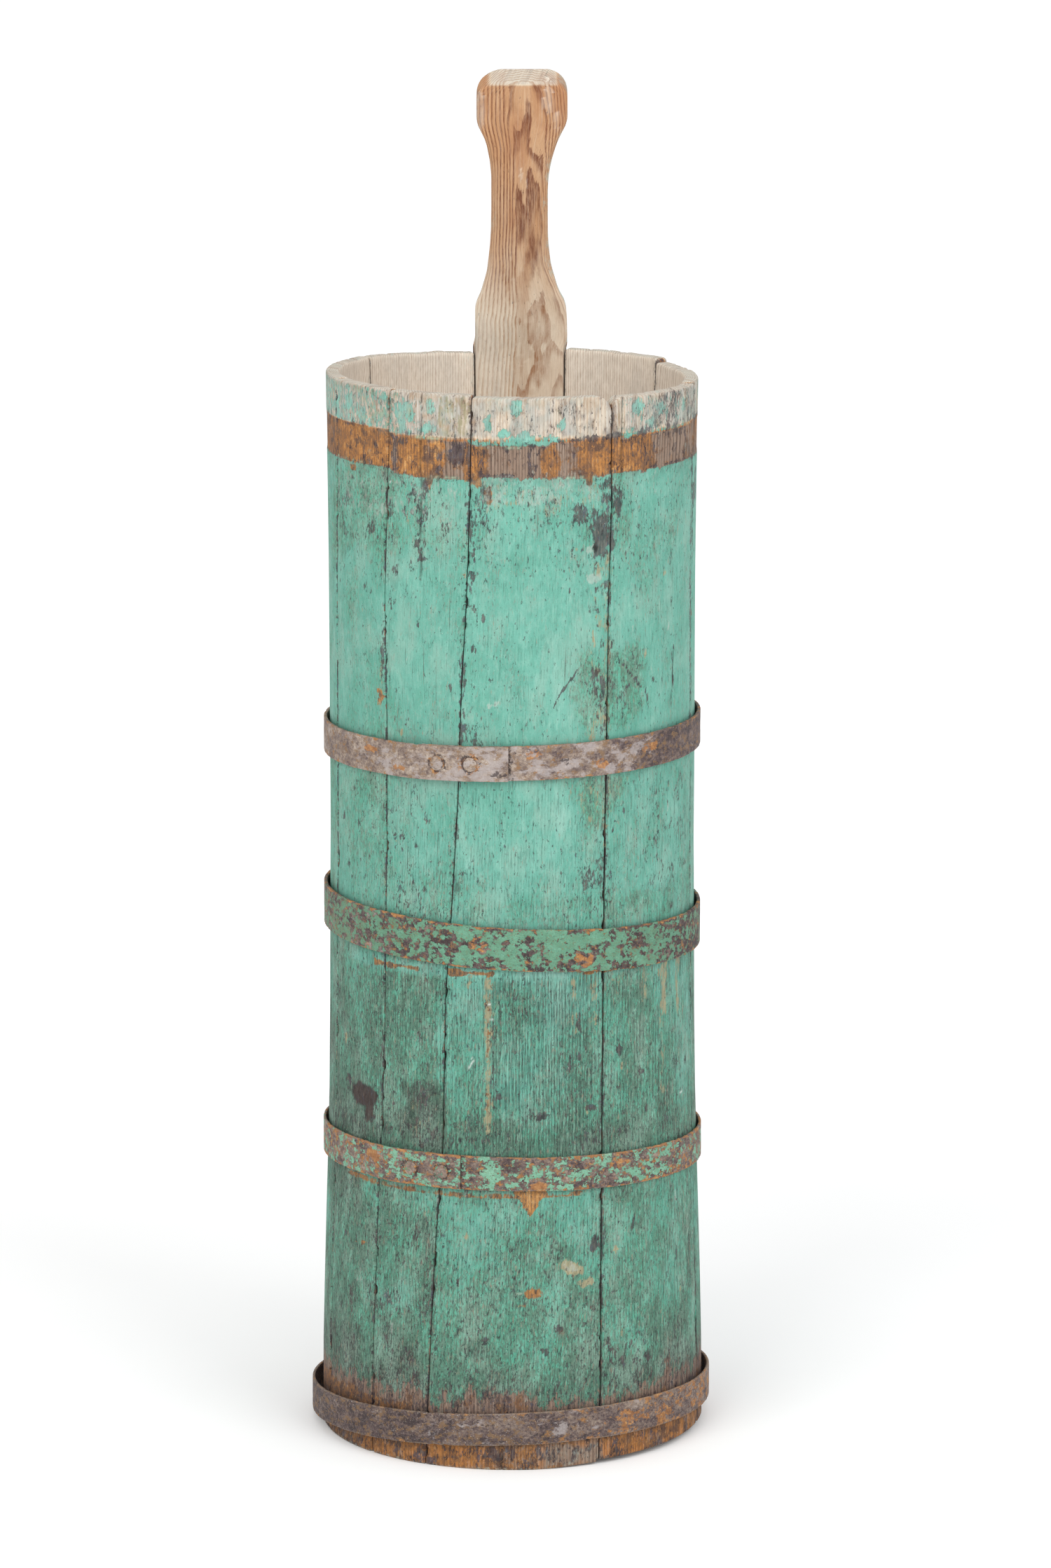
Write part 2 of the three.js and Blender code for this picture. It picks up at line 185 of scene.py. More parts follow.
def set_attribute(mesh, name, *channels):
    """Store 1, 3 or 4 values per vertex; each channel is an array or one number."""
    kind, field = ATTRIBUTE_KINDS[len(channels)]
    out = np.empty((len(mesh.vertices), len(channels)), np.float32)
    for i, channel in enumerate(channels):
        out[:, i] = channel
    mesh.attributes.new(name, kind, "POINT").data.foreach_set(field, out.ravel())


def install(ob, body, node, slot):
    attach(ob, body)
    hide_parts(node)


# Parts of the outline of a rectangular section with rounded corners
OUTER, OUTER_CORNER, SIDE, INNER_CORNER, INNER = range(5)


def rounded_section(width, depth, inset, rounds, counts, turns, side_shares):
    """Rings of (across, depth from the outer face), and the part each point belongs to.

    inset: per ring, how far it is drawn in. rounds: left, right and inner corner radii.
    counts: points on the outer and inner faces. turns: angles, in radians, round outer corners.
    """
    left, right, inner = rounds
    inner_turns = (0.5, 1.05)
    zero = 0 * width
    points = [(left + f * (width - left - right), zero, OUTER) for f in np.linspace(0, 1, counts[0])]
    points += [(width - right + right * math.sin(t), right * (1 - math.cos(t)), OUTER_CORNER)
               for t in turns]
    points += [(width, right + f * (depth - right - inner), SIDE) for f in side_shares]
    points += [(width - inner + inner * math.cos(t), depth - inner + inner * math.sin(t),
                INNER_CORNER) for t in inner_turns]
    points += [(inner + f * (width - 2 * inner), depth, INNER)
               for f in np.linspace(0, 1, counts[1])[::-1]]
    points += [(inner - inner * math.cos(t), depth - inner + inner * math.sin(t), INNER_CORNER)
               for t in inner_turns[::-1]]
    points += [(zero, left + f * (depth - left - inner), SIDE) for f in side_shares[::-1]]
    points += [(left - left * math.sin(t), left * (1 - math.cos(t)), OUTER_CORNER)
               for t in turns[::-1]]
    across, down, part = zip(*points)
    across, down = np.array(across).T, np.array(down).T
    across = inset[:, None] + across * ((width - 2 * inset) / width)[:, None]
    down = inset[:, None] + down * ((depth - 2 * inset) / depth)[:, None]
    return across, down, np.array(part)


def end_caps(rings, part):
    """Faces closing both ends of a run of rounded sections, two outer steps to each inner one."""
    ring, outer, inner = len(part), int(np.sum(part == OUTER)), int(np.sum(part == INNER))
    inner_start = int(np.argmax(part == INNER))
    caps = []
    for base in (0, (rings - 1) * ring):
        across = [base + inner_start + inner - 1 - j for j in range(inner)]
        cells = [[base + 2 * j, base + 2 * j + 1, base + 2 * j + 2, across[j + 1], across[j]]
                 for j in range(inner - 1)]
        cells.append([base + k for k in range(outer - 1, inner_start)] + [across[-1]])
        cells.append([across[0]] + [base + k for k in range(inner_start + inner, ring)] + [base])
        caps += cells if base else [c[::-1] for c in cells]
    return caps


# ---------------------------------------------------------------- shader building
def srgb(*rgb):
    """An 8-bit colour as linear RGBA."""
    def linear(c):
        c /= 255.0
        return c / 12.92 if c <= 0.04045 else ((c + 0.055) / 1.055) ** 2.4
    return (*(linear(c) for c in rgb), 1.0)


class Shader:
    """A material round one Principled node. Colours are 8-bit RGB, linear RGBA or sockets."""

    def __init__(self, name):
        self.material = bpy.data.materials.new(name)
        self.material.use_nodes = True
        self.tree = self.material.node_tree
        self.tree.nodes.clear()
        output = self.node("OutputMaterial")
        self.principled = self.node("BsdfPrincipled")
        self.put(output.inputs[0], self.principled.outputs[0])

    def node(self, kind, **settings):
        node = self.tree.nodes.new("ShaderNode" + kind)
        for key, value in settings.items():
            setattr(node, key, value)
        return node

    def put(self, socket, value):
        if isinstance(value, bpy.types.NodeSocket):
            self.tree.links.new(value, socket)
        else:
            socket.default_value = value

    def set(self, name, value):
        self.put(self.principled.inputs[name], value)

    def attribute(self, name):
        return self.node("Attribute", attribute_name=name).outputs

    def channels(self, name):
        """The four channels of a colour attribute."""
        source = self.attribute(name)
        split = self.node("SeparateColor")
        self.put(split.inputs[0], source["Color"])
        return split.outputs[0], split.outputs[1], split.outputs[2], source["Alpha"]

    def calc(self, operation, *values, clamp=False):
        node = self.node("Math", operation=operation, use_clamp=clamp)
        for socket, value in zip(node.inputs, values):
            self.put(socket, value)
        return node.outputs[0]

    def times(self, a, b):
        return self.calc("MULTIPLY", a, b)

    def plus(self, a, b, clamp=False):
        return self.calc("ADD", a, b, clamp=clamp)

    def times_add(self, a, factor, offset):
        return self.calc("MULTIPLY_ADD", a, factor, offset)

    def sway(self, noise, span):
        """Noise made to swing evenly about 0."""
        return self.times_add(noise, span, -span / 2)

    def weighted(self, a, a_share, b, b_share):
        return self.plus(self.times(a, a_share), self.times(b, b_share))

    def noise(self, vector, scale, detail=4, rough=0.55):
        """Noise of the vector scaled per metre, spread to fill 0 to 1 about evenly."""
        spread = 2.1
        node = self.node("TexNoise")
        node.inputs["Scale"].default_value = 1.0
        node.inputs["Detail"].default_value = detail
        node.inputs["Roughness"].default_value = rough
        scaled = self.node("VectorMath", operation="MULTIPLY")
        self.put(scaled.inputs[0], vector)
        scaled.inputs[1].default_value = scale
        self.put(node.inputs["Vector"], scaled.outputs[0])
        return self.remap(node.outputs[0], 0.5 - 0.5 / spread, 0.5 + 0.5 / spread, smooth=True)

    def noises(self, table):
        vector = self.attribute("scoord")["Vector"]
        return Group(**{name: self.noise(vector, *row) for name, row in table.items()})

    def remap(self, value, low, high, to_low=0, to_high=1, smooth=False):
        node = self.node("MapRange", interpolation_type="SMOOTHSTEP" if smooth else "LINEAR",
                         clamp=True)
        for i, v in enumerate((value, low, high, to_low, to_high)):
            self.put(node.inputs[i], v)
        return node.outputs[0]

    def cover(self, share, noise, soft=0.12):
        """1 where share beats the noise: 0.3 covers about 30 percent in crisp-edged flecks."""
        margin = self.calc("SUBTRACT", self.times_add(share, 1.0 + 2 * soft, -soft), noise)
        return self.remap(margin, -soft, soft, smooth=True)

    def mix(self, share, a, b):
        node = self.node("Mix", data_type="RGBA", blend_type="MIX", clamp_factor=True)
        self.put(node.inputs[0], share)
        for i, colour in ((6, a), (7, b)):
            is_rgb = isinstance(colour, tuple) and len(colour) == 3
            self.put(node.inputs[i], srgb(*colour) if is_rgb else colour)
        return node.outputs[2]

    def layers(self, colour, rows):
        """Lay colours over one another. Rows: mask, strength, colour, and for a tint the share
        of it first mixed into what lies below."""
        for mask, strength, over, *tint in rows:
            if tint:
                over = self.mix(tint[0], colour, over)
            colour = self.mix(self.times(mask, strength), colour, over)
        return colour

    def ramp(self, value, stops):
        """Stops: position, 8-bit colour."""
        node = self.node("ValToRGB")
        elements = node.color_ramp.elements
        while len(elements) < len(stops):
            elements.new(0.5)
        for element, (position, rgb) in zip(elements, stops):
            element.position = position
            element.color = srgb(*rgb)
        self.put(node.inputs[0], value)
        return node.outputs[0]

    def relief(self, distance, first, rows):
        """Bump from a sum of heights. first: mask, height. Rows: ADD or SUBTRACT, mask, height."""
        height = self.times(*first)
        for operation, mask, amount in rows:
            height = self.calc(operation, height, self.times(mask, amount))
        node = self.node("Bump")
        node.inputs["Strength"].default_value = 0.9
        node.inputs["Distance"].default_value = distance
        self.put(node.inputs["Height"], height)
        self.set("Normal", node.outputs[0])


# ---------------------------------------------------------------- wood
# Vertex attributes: m1 = paint, rust, dark, pale    m2 = tan, hue, tone, grain
# m3 = spot colour and its share                     m4 = rust tone, flecks, line contrast, unused
# scoord = along, up, seed in metres                 ring = growth ring number
WOOD_NOISES = {  # (scale across, up, by seed), detail, roughness
    "broad": ((18, 7, 1), 3), "mid": ((80, 30, 1), 4), "chips": ((480, 150, 1.3), 6, 0.66),
    "grit": ((720, 240, 2.1), 6, 0.74), "dirt": ((170, 46, 21.7), 5, 0.64),
    "mottle": ((820, 380, 12.1), 4, 0.66), "milk": ((260, 110, 31.7), 7, 0.78),
    "cloud": ((46, 24, 37.1), 5, 0.62), "dashes": ((800, 190, 1.9), 5, 0.68),
    "pits": ((760, 230, 3.3), 5, 0.72), "stain": ((170, 120, 1), 6, 0.72),
    "blotch": ((95, 80, 15.3), 6, 0.70), "wisps": ((620, 70, 1), 5, 0.68),
    "fibre": ((1500, 55, 1), 4, 0.62), "threads": ((950, 28, 4.4), 4, 0.6),
    "scuffs": ((640, 110, 6.1), 5, 0.7), "flakes": ((560, 210, 8.3), 6, 0.7),
    "specks": ((1000, 760, 1), 2, 0.5), "fine": ((1300, 900, 2.7), 3, 0.6),
    "hairs": ((1000, 10, 5.7), 4, 0.6),
}
# Ramps: position, 8-bit colour
EARLY_WOOD = [(0.0, (184, 181, 174)), (0.2, (206, 192, 171)), (0.4, (188, 153, 120)),
              (0.62, (178, 118, 64)), (0.85, (140, 119, 103)), (1.0, (120, 97, 86))]
LATE_WOOD = [(0.0, (150, 138, 126)), (0.2, (160, 120, 86)), (0.4, (106, 60, 41)),
             (0.62, (104, 62, 37)), (0.85, (88, 72, 62)), (1.0, (72, 56, 50))]
CLEAN_PAINT = [(0.0, (126, 181, 166)), (0.09, (106, 168, 151)), (0.28, (97, 159, 142)),
               (0.55, (88, 162, 137)), (0.8, (86, 148, 124)), (1.0, (82, 130, 108))]
GRIMY_PAINT = [(0.0, (138, 168, 156)), (0.25, (112, 146, 132)), (0.55, (88, 122, 104)),
               (0.8, (80, 106, 90)), (1.0, (76, 90, 76))]
RUST_STAIN = [(0.0, (76, 60, 56)), (0.25, (106, 80, 62)), (0.5, (150, 102, 56)),
              (0.75, (182, 122, 58)), (1.0, (200, 150, 92))]
DIRT_AND_SHADE = [(0.0, (36, 32, 36)), (0.35, (56, 49, 56)), (0.6, (80, 68, 68)), (0.8, (66, 66, 80)),
        (1.0, (98, 98, 104))]


def wood_material(name):
    shader = Shader(name)
    noise = shader.noises(WOOD_NOISES)
    cover, remap, mix, layers = shader.cover, shader.remap, shader.mix, shader.layers
    times, plus, times_add = shader.times, shader.plus, shader.times_add
    sway, weighted = shader.sway, shader.weighted
    paint, rust, dark, pale = shader.channels("m1")
    tan, hue, tone, grain = shader.channels("m2")
    spot = shader.attribute("m3")
    rust_tone, fleck, line, _ = shader.channels("m4")

    # growth rings: pale early wood, then late wood that darkens and ends sharply
    phase = shader.calc("FRACT", times_add(noise.fibre, 0.10, shader.attribute("ring")["Fac"]))
    late = times(remap(phase, 0.38, 0.80, smooth=True), remap(phase, 0.95, 1.0, 1, 0))
    late = times(late, remap(noise.dashes, 0.05, 0.75, 0.5, 1.0))

    # bare wood, greyed where its tone is lowest
    early_colour, late_colour = shader.ramp(tone, EARLY_WOOD), shader.ramp(tone, LATE_WOOD)
    grey = times(remap(tone, 0.26, 0.12), fleck)
    wood = layers(early_colour, [
        (late, line, late_colour),
        (remap(noise.fibre, 0.55, 1), 0.34, late_colour),
        (remap(noise.threads, 0.45, 0), 0.30, mix(0.5, early_colour, (232, 222, 206))),
        (remap(noise.broad, 0.4, 1), 0.22, early_colour),
        (remap(noise.grit, 0.6, 1.0), 0.22, late_colour),
        (cover(0.42, weighted(noise.scuffs, 0.5, noise.dirt, 0.5), 0.16), times(grey, 2.2),
         mix(noise.blotch, (166, 160, 152), (150, 124, 100)))])

    # paint: clean turquoise, and the same under a film of grime
    shade = plus(hue, plus(sway(noise.broad, 0.14), sway(noise.mid, 0.16)))
    clean, grimy = shader.ramp(shade, CLEAN_PAINT), shader.ramp(shade, GRIMY_PAINT)
    grime_share = plus(times_add(shade, 0.86, 0.10), sway(noise.mid, 0.12), clamp=True)
    ridge = times(times(late, remap(noise.pits, 0.15, 0.75, 0.25, 1.0)),
                  times(grain, remap(noise.blotch, 0.15, 0.75, 0.30, 1.0, smooth=True)))
    lines = cover(times_add(grain, 0.42, 0.04), noise.fibre, 0.12)
    long_lines = cover(times_add(grain, 0.14, 0.05),
                       weighted(noise.threads, 0.6, noise.dashes, 0.4), 0.10)
    painted = layers(mix(cover(grime_share, noise.grit, 0.20), clean, grimy), [
        (remap(noise.milk, 0.52, 1.0), 0.42, (176, 204, 192), 0.5),
        (remap(noise.milk, 0.48, 0.0), 0.42, (70, 112, 98), 0.42),
        (remap(noise.cloud, 0.52, 0.95), 0.60, (156, 180, 166), 0.5),
        (remap(noise.cloud, 0.48, 0.05), 0.46, (60, 140, 116), 0.5),
        (cover(times_add(shade, 0.44, 0.01), noise.mottle, 0.08), 0.74, (32, 44, 42), 0.80),
        (remap(noise.fine, 0.5, 1), 0.20, (44, 60, 54), 0.5),
        (remap(noise.wisps, 0.62, 1.0), 0.22, (158, 204, 184)),
        (remap(ridge, 0.10, 0.62), 0.80, (38, 52, 48), 0.84),
        (lines, 0.58, (44, 54, 50), 0.8),
        (long_lines, 0.55, (96, 92, 82)),
        (cover(times_add(grain, 0.05, 0.055), noise.hairs, 0.03), 0.62, (62, 60, 54)),
        (cover(0.16, noise.scuffs, 0.10), 0.45, (132, 138, 120))])
    left = cover(paint, weighted(noise.chips, 0.6, noise.grit, 0.4), 0.10)  # paint not chipped off

    # tan wear: paint rubbed down to wood
    tan_colour = layers(mix(noise.wisps, (134, 130, 104), (172, 158, 124)), [
        (remap(noise.stain, 0.60, 0.95), 0.4, (146, 108, 72))])
    rust_level = plus(weighted(noise.stain, 0.55, noise.fine, 0.12),
                      times_add(rust_tone, 0.7, -0.15))
    rust_colour = layers(shader.ramp(rust_level, RUST_STAIN), [
        (cover(0.34, noise.flakes, 0.14), 0.55, (104, 74, 54)),
        (cover(0.34, noise.blotch, 0.08), 0.80, mix(noise.fine, (60, 46, 44), (96, 72, 60))),
        (cover(0.20, noise.dirt, 0.10), 0.5, (120, 92, 76)),
        (late, 0.5, (88, 66, 54)),
        (remap(noise.fibre, 0.55, 1), 0.45, (92, 70, 58)),
        (remap(noise.stain, 0.25, 0.02), 0.7, (74, 58, 54)),
        (remap(noise.pits, 0.70, 0.92), 0.6, (78, 60, 52)),
        (remap(noise.flakes, 0.74, 0.95), 0.5, (204, 160, 108))])
    rusty = cover(rust, weighted(noise.stain, 0.7, noise.pits, 0.3), 0.16)
    # the dark mask's layer: dirt, and the painted shade in bands along the hoops' edges
    dirt_and_shade_colour = layers(shader.ramp(noise.stain, DIRT_AND_SHADE), [
        (remap(noise.wisps, 0.5, 1), 0.5, (128, 122, 112))])
    dirt_and_shade_noise = weighted(noise.pits, 0.64, noise.dirt, 0.36)
    dirt_and_shade = cover(dark, remap(dirt_and_shade_noise, 0.10, 0.90), 0.08)
    flecks = cover(times_add(fleck, 0.30, 0.03), noise.flakes, 0.05)
    nicks = times(times(remap(noise.specks, 0.975, 0.99), remap(noise.stain, 0.45, 0.7)), fleck)
    colour = layers(mix(left, wood, painted), [
        (cover(tan, weighted(noise.stain, 0.5, noise.wisps, 0.5), 0.16), 0.9, tan_colour),
        (rusty, 0.92, rust_colour),
        (dirt_and_shade, 0.86, dirt_and_shade_colour),
        (flecks, 0.80, dirt_and_shade_colour),
        (cover(times_add(fleck, 0.26, 0.03), noise.scuffs, 0.06), 0.46,
         mix(noise.stain, (128, 112, 98), (160, 140, 120))),
        (cover(pale, weighted(noise.milk, 0.5, noise.grit, 0.5), 0.20), 0.55,
         mix(noise.pits, (184, 194, 184), (144, 158, 148))),
        (nicks, 0.7, (212, 220, 206)),
        (spot["Alpha"], remap(noise.chips, 0.0, 0.9, 1.0, 0.45), spot["Color"])])
    shader.set("Base Color", colour)

    # bare wood is rougher than paint, dirt and painted shade rougher still
    rough = plus(times_add(left, -0.14, 0.86), sway(noise.mid, 0.10))
    rough = plus(rough, times(shader.calc("MAXIMUM", dirt_and_shade, flecks), 0.10), clamp=True)
    shader.set("Roughness", rough)
    shader.set("Specular IOR Level", 0.3)
    # relief: paint film over wood, raised late wood, fibres, pitted rust
    shader.relief(0.00040, (left, 0.55), [
        ("SUBTRACT", flecks, 0.5),
        ("SUBTRACT", dirt_and_shade, 0.35),
        ("SUBTRACT", lines, 0.25),
        ("ADD", late, times_add(times(grain, grain), 0.30, 0.03)),
        ("ADD", noise.fibre, 0.16),
        ("ADD", times(rusty, noise.stain), 0.4)])
    return shader.material


# ---------------------------------------------------------------- iron
# Vertex attributes: m1 = green paint, orange rust, dark, pale patina   m2 = tone, hue, specks, edge
IRON_NOISES = {  # (scale across, up, by seed), detail, roughness
    "blotch": ((150, 170, 1), 6, 0.74), "pits": ((300, 340, 2), 6, 0.70),
    "bloom": ((190, 230, 3.1), 6, 0.74), "grit": ((1000, 1100, 1), 3, 0.6),
    "patina": ((76, 120, 7.7), 6, 0.70), "mottle": ((520, 580, 5.2), 4, 0.66),
    "broad": ((62, 90, 13.1), 5, 0.66), "chips": ((210, 230, 9.4), 6, 0.68),
}
BARE_IRON = [(0.0, (60, 48, 49)), (0.25, (92, 76, 74)), (0.5, (130, 113, 102)),
             (0.75, (164, 147, 132)), (1.0, (196, 185, 176))]
ORANGE_RUST = [(0.0, (118, 78, 50)), (0.5, (158, 106, 60)), (1.0, (194, 146, 90))]
IRON_PAINT = [(0.0, (134, 186, 158)), (0.35, (108, 166, 138)), (0.7, (90, 142, 114)),
              (1.0, (98, 118, 90))]


def iron_material(name):
    shader = Shader(name)
    noise = shader.noises(IRON_NOISES)
    cover, mix, times, plus, sway = (shader.cover, shader.mix, shader.times, shader.plus,
                                     shader.sway)
    paint, orange, dark, pale = shader.channels("m1")
    tone, hue, speckle, edge = shader.channels("m2")

    level = plus(sway(noise.blotch, 0.40), plus(tone, sway(noise.broad, 0.34)))
    level = plus(level, sway(noise.mottle, 0.40))
    rusty = cover(orange, noise.bloom, 0.10)
    # the dark mask: pits, and painted shade at the lap's step and round the rivet heads
    pits_and_shade = cover(dark, noise.pits, 0.08)
    painted = cover(paint, noise.chips, 0.035)
    paint_shade = plus(hue, sway(noise.blotch, 0.5))
    paint_colour = shader.layers(shader.ramp(paint_shade, IRON_PAINT), [
        (shader.remap(noise.grit, 0.5, 1), 0.45, (80, 100, 82)),
        (cover(0.22, noise.mottle, 0.08), 0.6, (120, 104, 72))])
    colour = shader.layers(shader.ramp(level, BARE_IRON), [
        (cover(0.36, noise.bloom, 0.10), 0.70, mix(noise.mottle, (148, 114, 74), (108, 84, 60))),
        (cover(0.12, noise.pits, 0.10), 0.62, (76, 60, 56)),
        (cover(pale, noise.patina, 0.14), 0.66,
         mix(noise.mottle, (190, 181, 178), (146, 137, 136))),
        (rusty, 0.85, shader.ramp(noise.pits, ORANGE_RUST)),
        (pits_and_shade, 0.8, (60, 48, 48)),
        (painted, 0.94, paint_colour),
        (times(cover(0.12, noise.grit, 0.06), speckle), 0.8, (200, 194, 184)),
        (cover(edge, noise.pits, 0.3), 0.5, (166, 146, 124))])
    shader.set("Base Color", colour)
    # only bare metal is metallic; rust is rougher
    covered = shader.calc("MAXIMUM", painted, rusty)
    shader.set("Metallic", times(shader.calc("SUBTRACT", 1.0, covered), 0.16))
    rough = shader.times_add(noise.blotch, 0.16, 0.62)
    shader.set("Roughness", plus(rough, times(rusty, 0.2), clamp=True))
    shader.relief(0.00045, (painted, 0.5), [
        ("ADD", noise.pits, 0.5),
        ("ADD", noise.mottle, 0.3),
        ("ADD", noise.grit, 0.12),
        ("SUBTRACT", pits_and_shade, 0.4)])
    return shader.material


PAINTED = wood_material("painted_pine")
PINE = wood_material("bare_pine")
IRON = iron_material("rusted_iron")
PAINTED_IRON = iron_material("painted_iron")


# ---------------------------------------------------------------- weathering of the staves
class Weathering:
    """Masks over a stave, one value per vertex. Angles run from -180 to 180.

    value: the masks by name. spot, spot_share: coloured marks. push: millimetres inward.
    seam: distance to the nearer joint. fine, mid, broad and streak are noises.
    """

    def __init__(self, angle, z, seed, seam):
        count = len(angle)
        self.angle, self.z, self.seed, self.seam = angle, z, seed, seam
        self.across = angle * ARC
        keys = "paint rust dark pale tan hue tone grain rtone fleck line"
        self.value = {key: np.zeros(count) for key in keys.split()}
        self.spot = np.zeros((count, 3))
        self.spot_share = np.zeros(count)
        self.push = np.zeros(count)
        self.mid = self.noise(9, 12, 901, 4)
        self.fine = self.noise(3.2, 4.5, 902, 3)
        self.broad = self.noise(26, 40, 903, 4)
        self.streak = self.noise(2.6, 90, 911, 3)

    def noise(self, width, height, seed, octaves):
        return fractal(self.across / width, self.z / height, seed, octaves)

    def flecks(self, low, high, *noise):
        return ease(low, high, self.noise(*noise))

    def blob(self, angle, z, half_width, half_height, rough=0.6, turn=0.0, soft=(0.45, 1.2)):
        right, up = self.across - angle * ARC, self.z - z
        if turn:
            c, s = math.cos(math.radians(turn)), math.sin(math.radians(turn))
            right, up = right * c + up * s, -right * s + up * c
        distance = np.sqrt((right / half_width) ** 2 + (up / half_height) ** 2)
        wobble = self.mid if min(half_width, half_height) > 7 else self.fine
        return 1 - ease(*soft, distance + (wobble - 0.5) * 2 * rough)

    def strip(self, left, right, low, high, soft=2.0, rough=2.5):
        """A rough-edged patch between two angles and two heights."""
        wobble = (self.mid - 0.5) * 2 * rough + (self.fine - 0.5) * rough
        mask = ease(-soft, soft, self.across - left * ARC + wobble)
        mask = mask * ease(-soft, soft, right * ARC - self.across + wobble)
        mask = mask * ease(-soft, soft, self.z - low + wobble)
        return mask * ease(-soft, soft, high - self.z + wobble)

    def add(self, key, mask, amount):
        self.value[key] = np.maximum(self.value[key], mask * amount)

    def fade(self, mask, **targets):
        """Bring masks towards given values."""
        for key, target in targets.items():
            self.value[key] = self.value[key] * (1 - mask) + target * mask

    def mark(self, mask, rgb, share):
        share = np.clip(mask * share, 0, 1)
        colour = np.array(srgb(*rgb)[:3])
        self.spot = self.spot * (1 - share[:, None]) + colour * share[:, None]
        self.spot_share = np.maximum(self.spot_share, share)

    def strips(self, key, rows, within=1.0):
        """Rows: left, right, low, high, softness, roughness, amount, and a mask if any."""
        for *strip, amount, mask in (row if len(row) == 8 else (*row, 1.0) for row in rows):
            self.add(key, within * self.strip(*strip) * mask, amount)

    def hues(self, rows):
        """Rows: left, right, low, high, softness, roughness, share, hue."""
        for *strip, share, hue in rows:
            self.fade(self.strip(*strip) * share, hue=hue)

    def blobs(self, key, rows, within=1.0):
        """Rows: angle, z, half width, half height, amount, then roughness, turn, softness."""
        for angle, z, half_width, half_height, amount, *shape in rows:
            self.add(key, within * self.blob(angle, z, half_width, half_height, *shape), amount)

    def daubs(self, rgb, rows):
        """Rows: share, angle, z, half width, half height, then roughness, turn, softness."""
        for share, *blob in rows:
            self.mark(self.blob(*blob), rgb, share)

    def crack(self, line, low, high, depth, width, taper):
        """A drying check: a narrow wandering groove with a dark bottom, open at the stave's ends."""
        middle = lookup(line, self.z) * ARC
        middle = middle + (fractal(self.z / 24, 0.0, self.seed + 77, 3) - 0.5) * 2.4
        along = 1.0
        if low > 2:
            along = along * ease(low - taper * 0.2, low + taper, self.z)
        if high < 738:
            along = along * ease(high + taper * 0.2, high - taper, self.z)
        groove = np.clip(1 - np.abs(self.across - middle) / width, 0, 1) * along
        self.push += depth * groove
        self.mark(ease(0.15, 0.6, groove), (46, 38, 34), 0.95)


BASE_BY_HEIGHT = {  # height, value
    "hue": [(0, .60), (60, .56), (120, .44), (190, .48), (225, .56), (300, .48), (345, .42),
            (380, .30), (480, .26), (520, .20), (600, .22), (680, .28), (712, .3), (740, .3)],
    "fleck": [(0, .6), (60, .62), (190, .56), (225, .62), (345, .60), (380, .46), (480, .40),
              (520, .42), (600, .40), (640, .52), (700, .60), (740, .4)],
    "grain": [(0, .6), (190, .6), (230, .75), (345, .75), (380, .5), (480, .4), (520, .3),
              (680, .35), (740, .5)],
    "paint": [(0, .0), (60, .93), (200, .95), (360, .95), (480, .97), (640, .97), (690, .9),
              (740, .5)],
    "dark": [(0, 1), (200, 1), (345, .9), (420, .6), (520, .45), (700, .6)],
}


def weather_overall(wear):
    """The general state of the paint by height, with small scattered chips over the front."""
    z, mid, broad, value = wear.z, wear.mid, wear.broad, wear.value
    base = {key: lookup(rows, z) for key, rows in BASE_BY_HEIGHT.items()}
    hue = base["hue"] + (broad - 0.5) * 0.5 + 0.10 * ease(-20, -50, wear.angle) - 0.04
    value["hue"] = np.maximum(hue, 0.15)
    value["fleck"] = base["fleck"] * (0.55 + 0.9 * broad)
    value["grain"] = base["grain"] * (0.6 + 0.7 * mid)
    value["paint"] = base["paint"] + (broad - 0.5) * 0.12
    for key, level in (("tone", 0.86), ("line", 0.8), ("rtone", 0.55)):
        value[key] = np.full(len(z), level)
    value["dark"] = (0.20 * ease(0.50, 0.78, wear.streak) * base["dark"]
                     + 0.16 * ease(0.52, 0.72, broad) * ease(430, 330, z))
    value["pale"] = 0.13 * wear.flecks(0.55, 0.8, 5, 30, 912, 3)

    rng = np.random.RandomState(77)
    joint_angles = [-41, -33.5, -14, 34.5, 60, -62]  # chips gather round these
    for _ in range(210):
        angle, height = rng.uniform(-84, 84), rng.uniform(70, 684)
        half_width, half_height, kind = rng.uniform(0.9, 2.6), rng.uniform(1.5, 6.5), rng.rand()
        if rng.rand() < 0.45:
            angle = joint_angles[rng.randint(6)] + rng.normal(0, 2.2)
        chip = wear.blob(angle, height, half_width, half_height, 0.75, rng.uniform(-12, 12))
        key = "dark" if kind < 0.62 else ("tan" if kind < 0.86 else "pale")
        wear.add(key, chip, rng.uniform(0.34, 0.68))
    wear.add("dark", wear.flecks(0.54, 0.74, 15, 36, 941, 4), 0.20)
    wear.add("tan", wear.flecks(0.56, 0.74, 9, 44, 942, 4) * ease(480, 520, z), 0.17)


TOP_REMNANTS = [  # paint left above the lost hoop: angle, z, half width, half height
    (-60, 730, 7, 8), (-52, 722, 5, 10), (-34, 727, 9, 11), (-26, 719, 9, 6), (-25, 733, 4, 6),
    (-7, 722, 5, 8), (1.5, 734, 5, 8), (3, 713, 12, 6), (-2, 716, 6, 4), (15, 721, 4, 5),
    (12, 712, 6, 3), (42, 729, 7, 7), (53, 726, 9, 5), (47, 718, 6, 4), (66, 724, 5, 6),
    (-68, 722, 6, 12)]


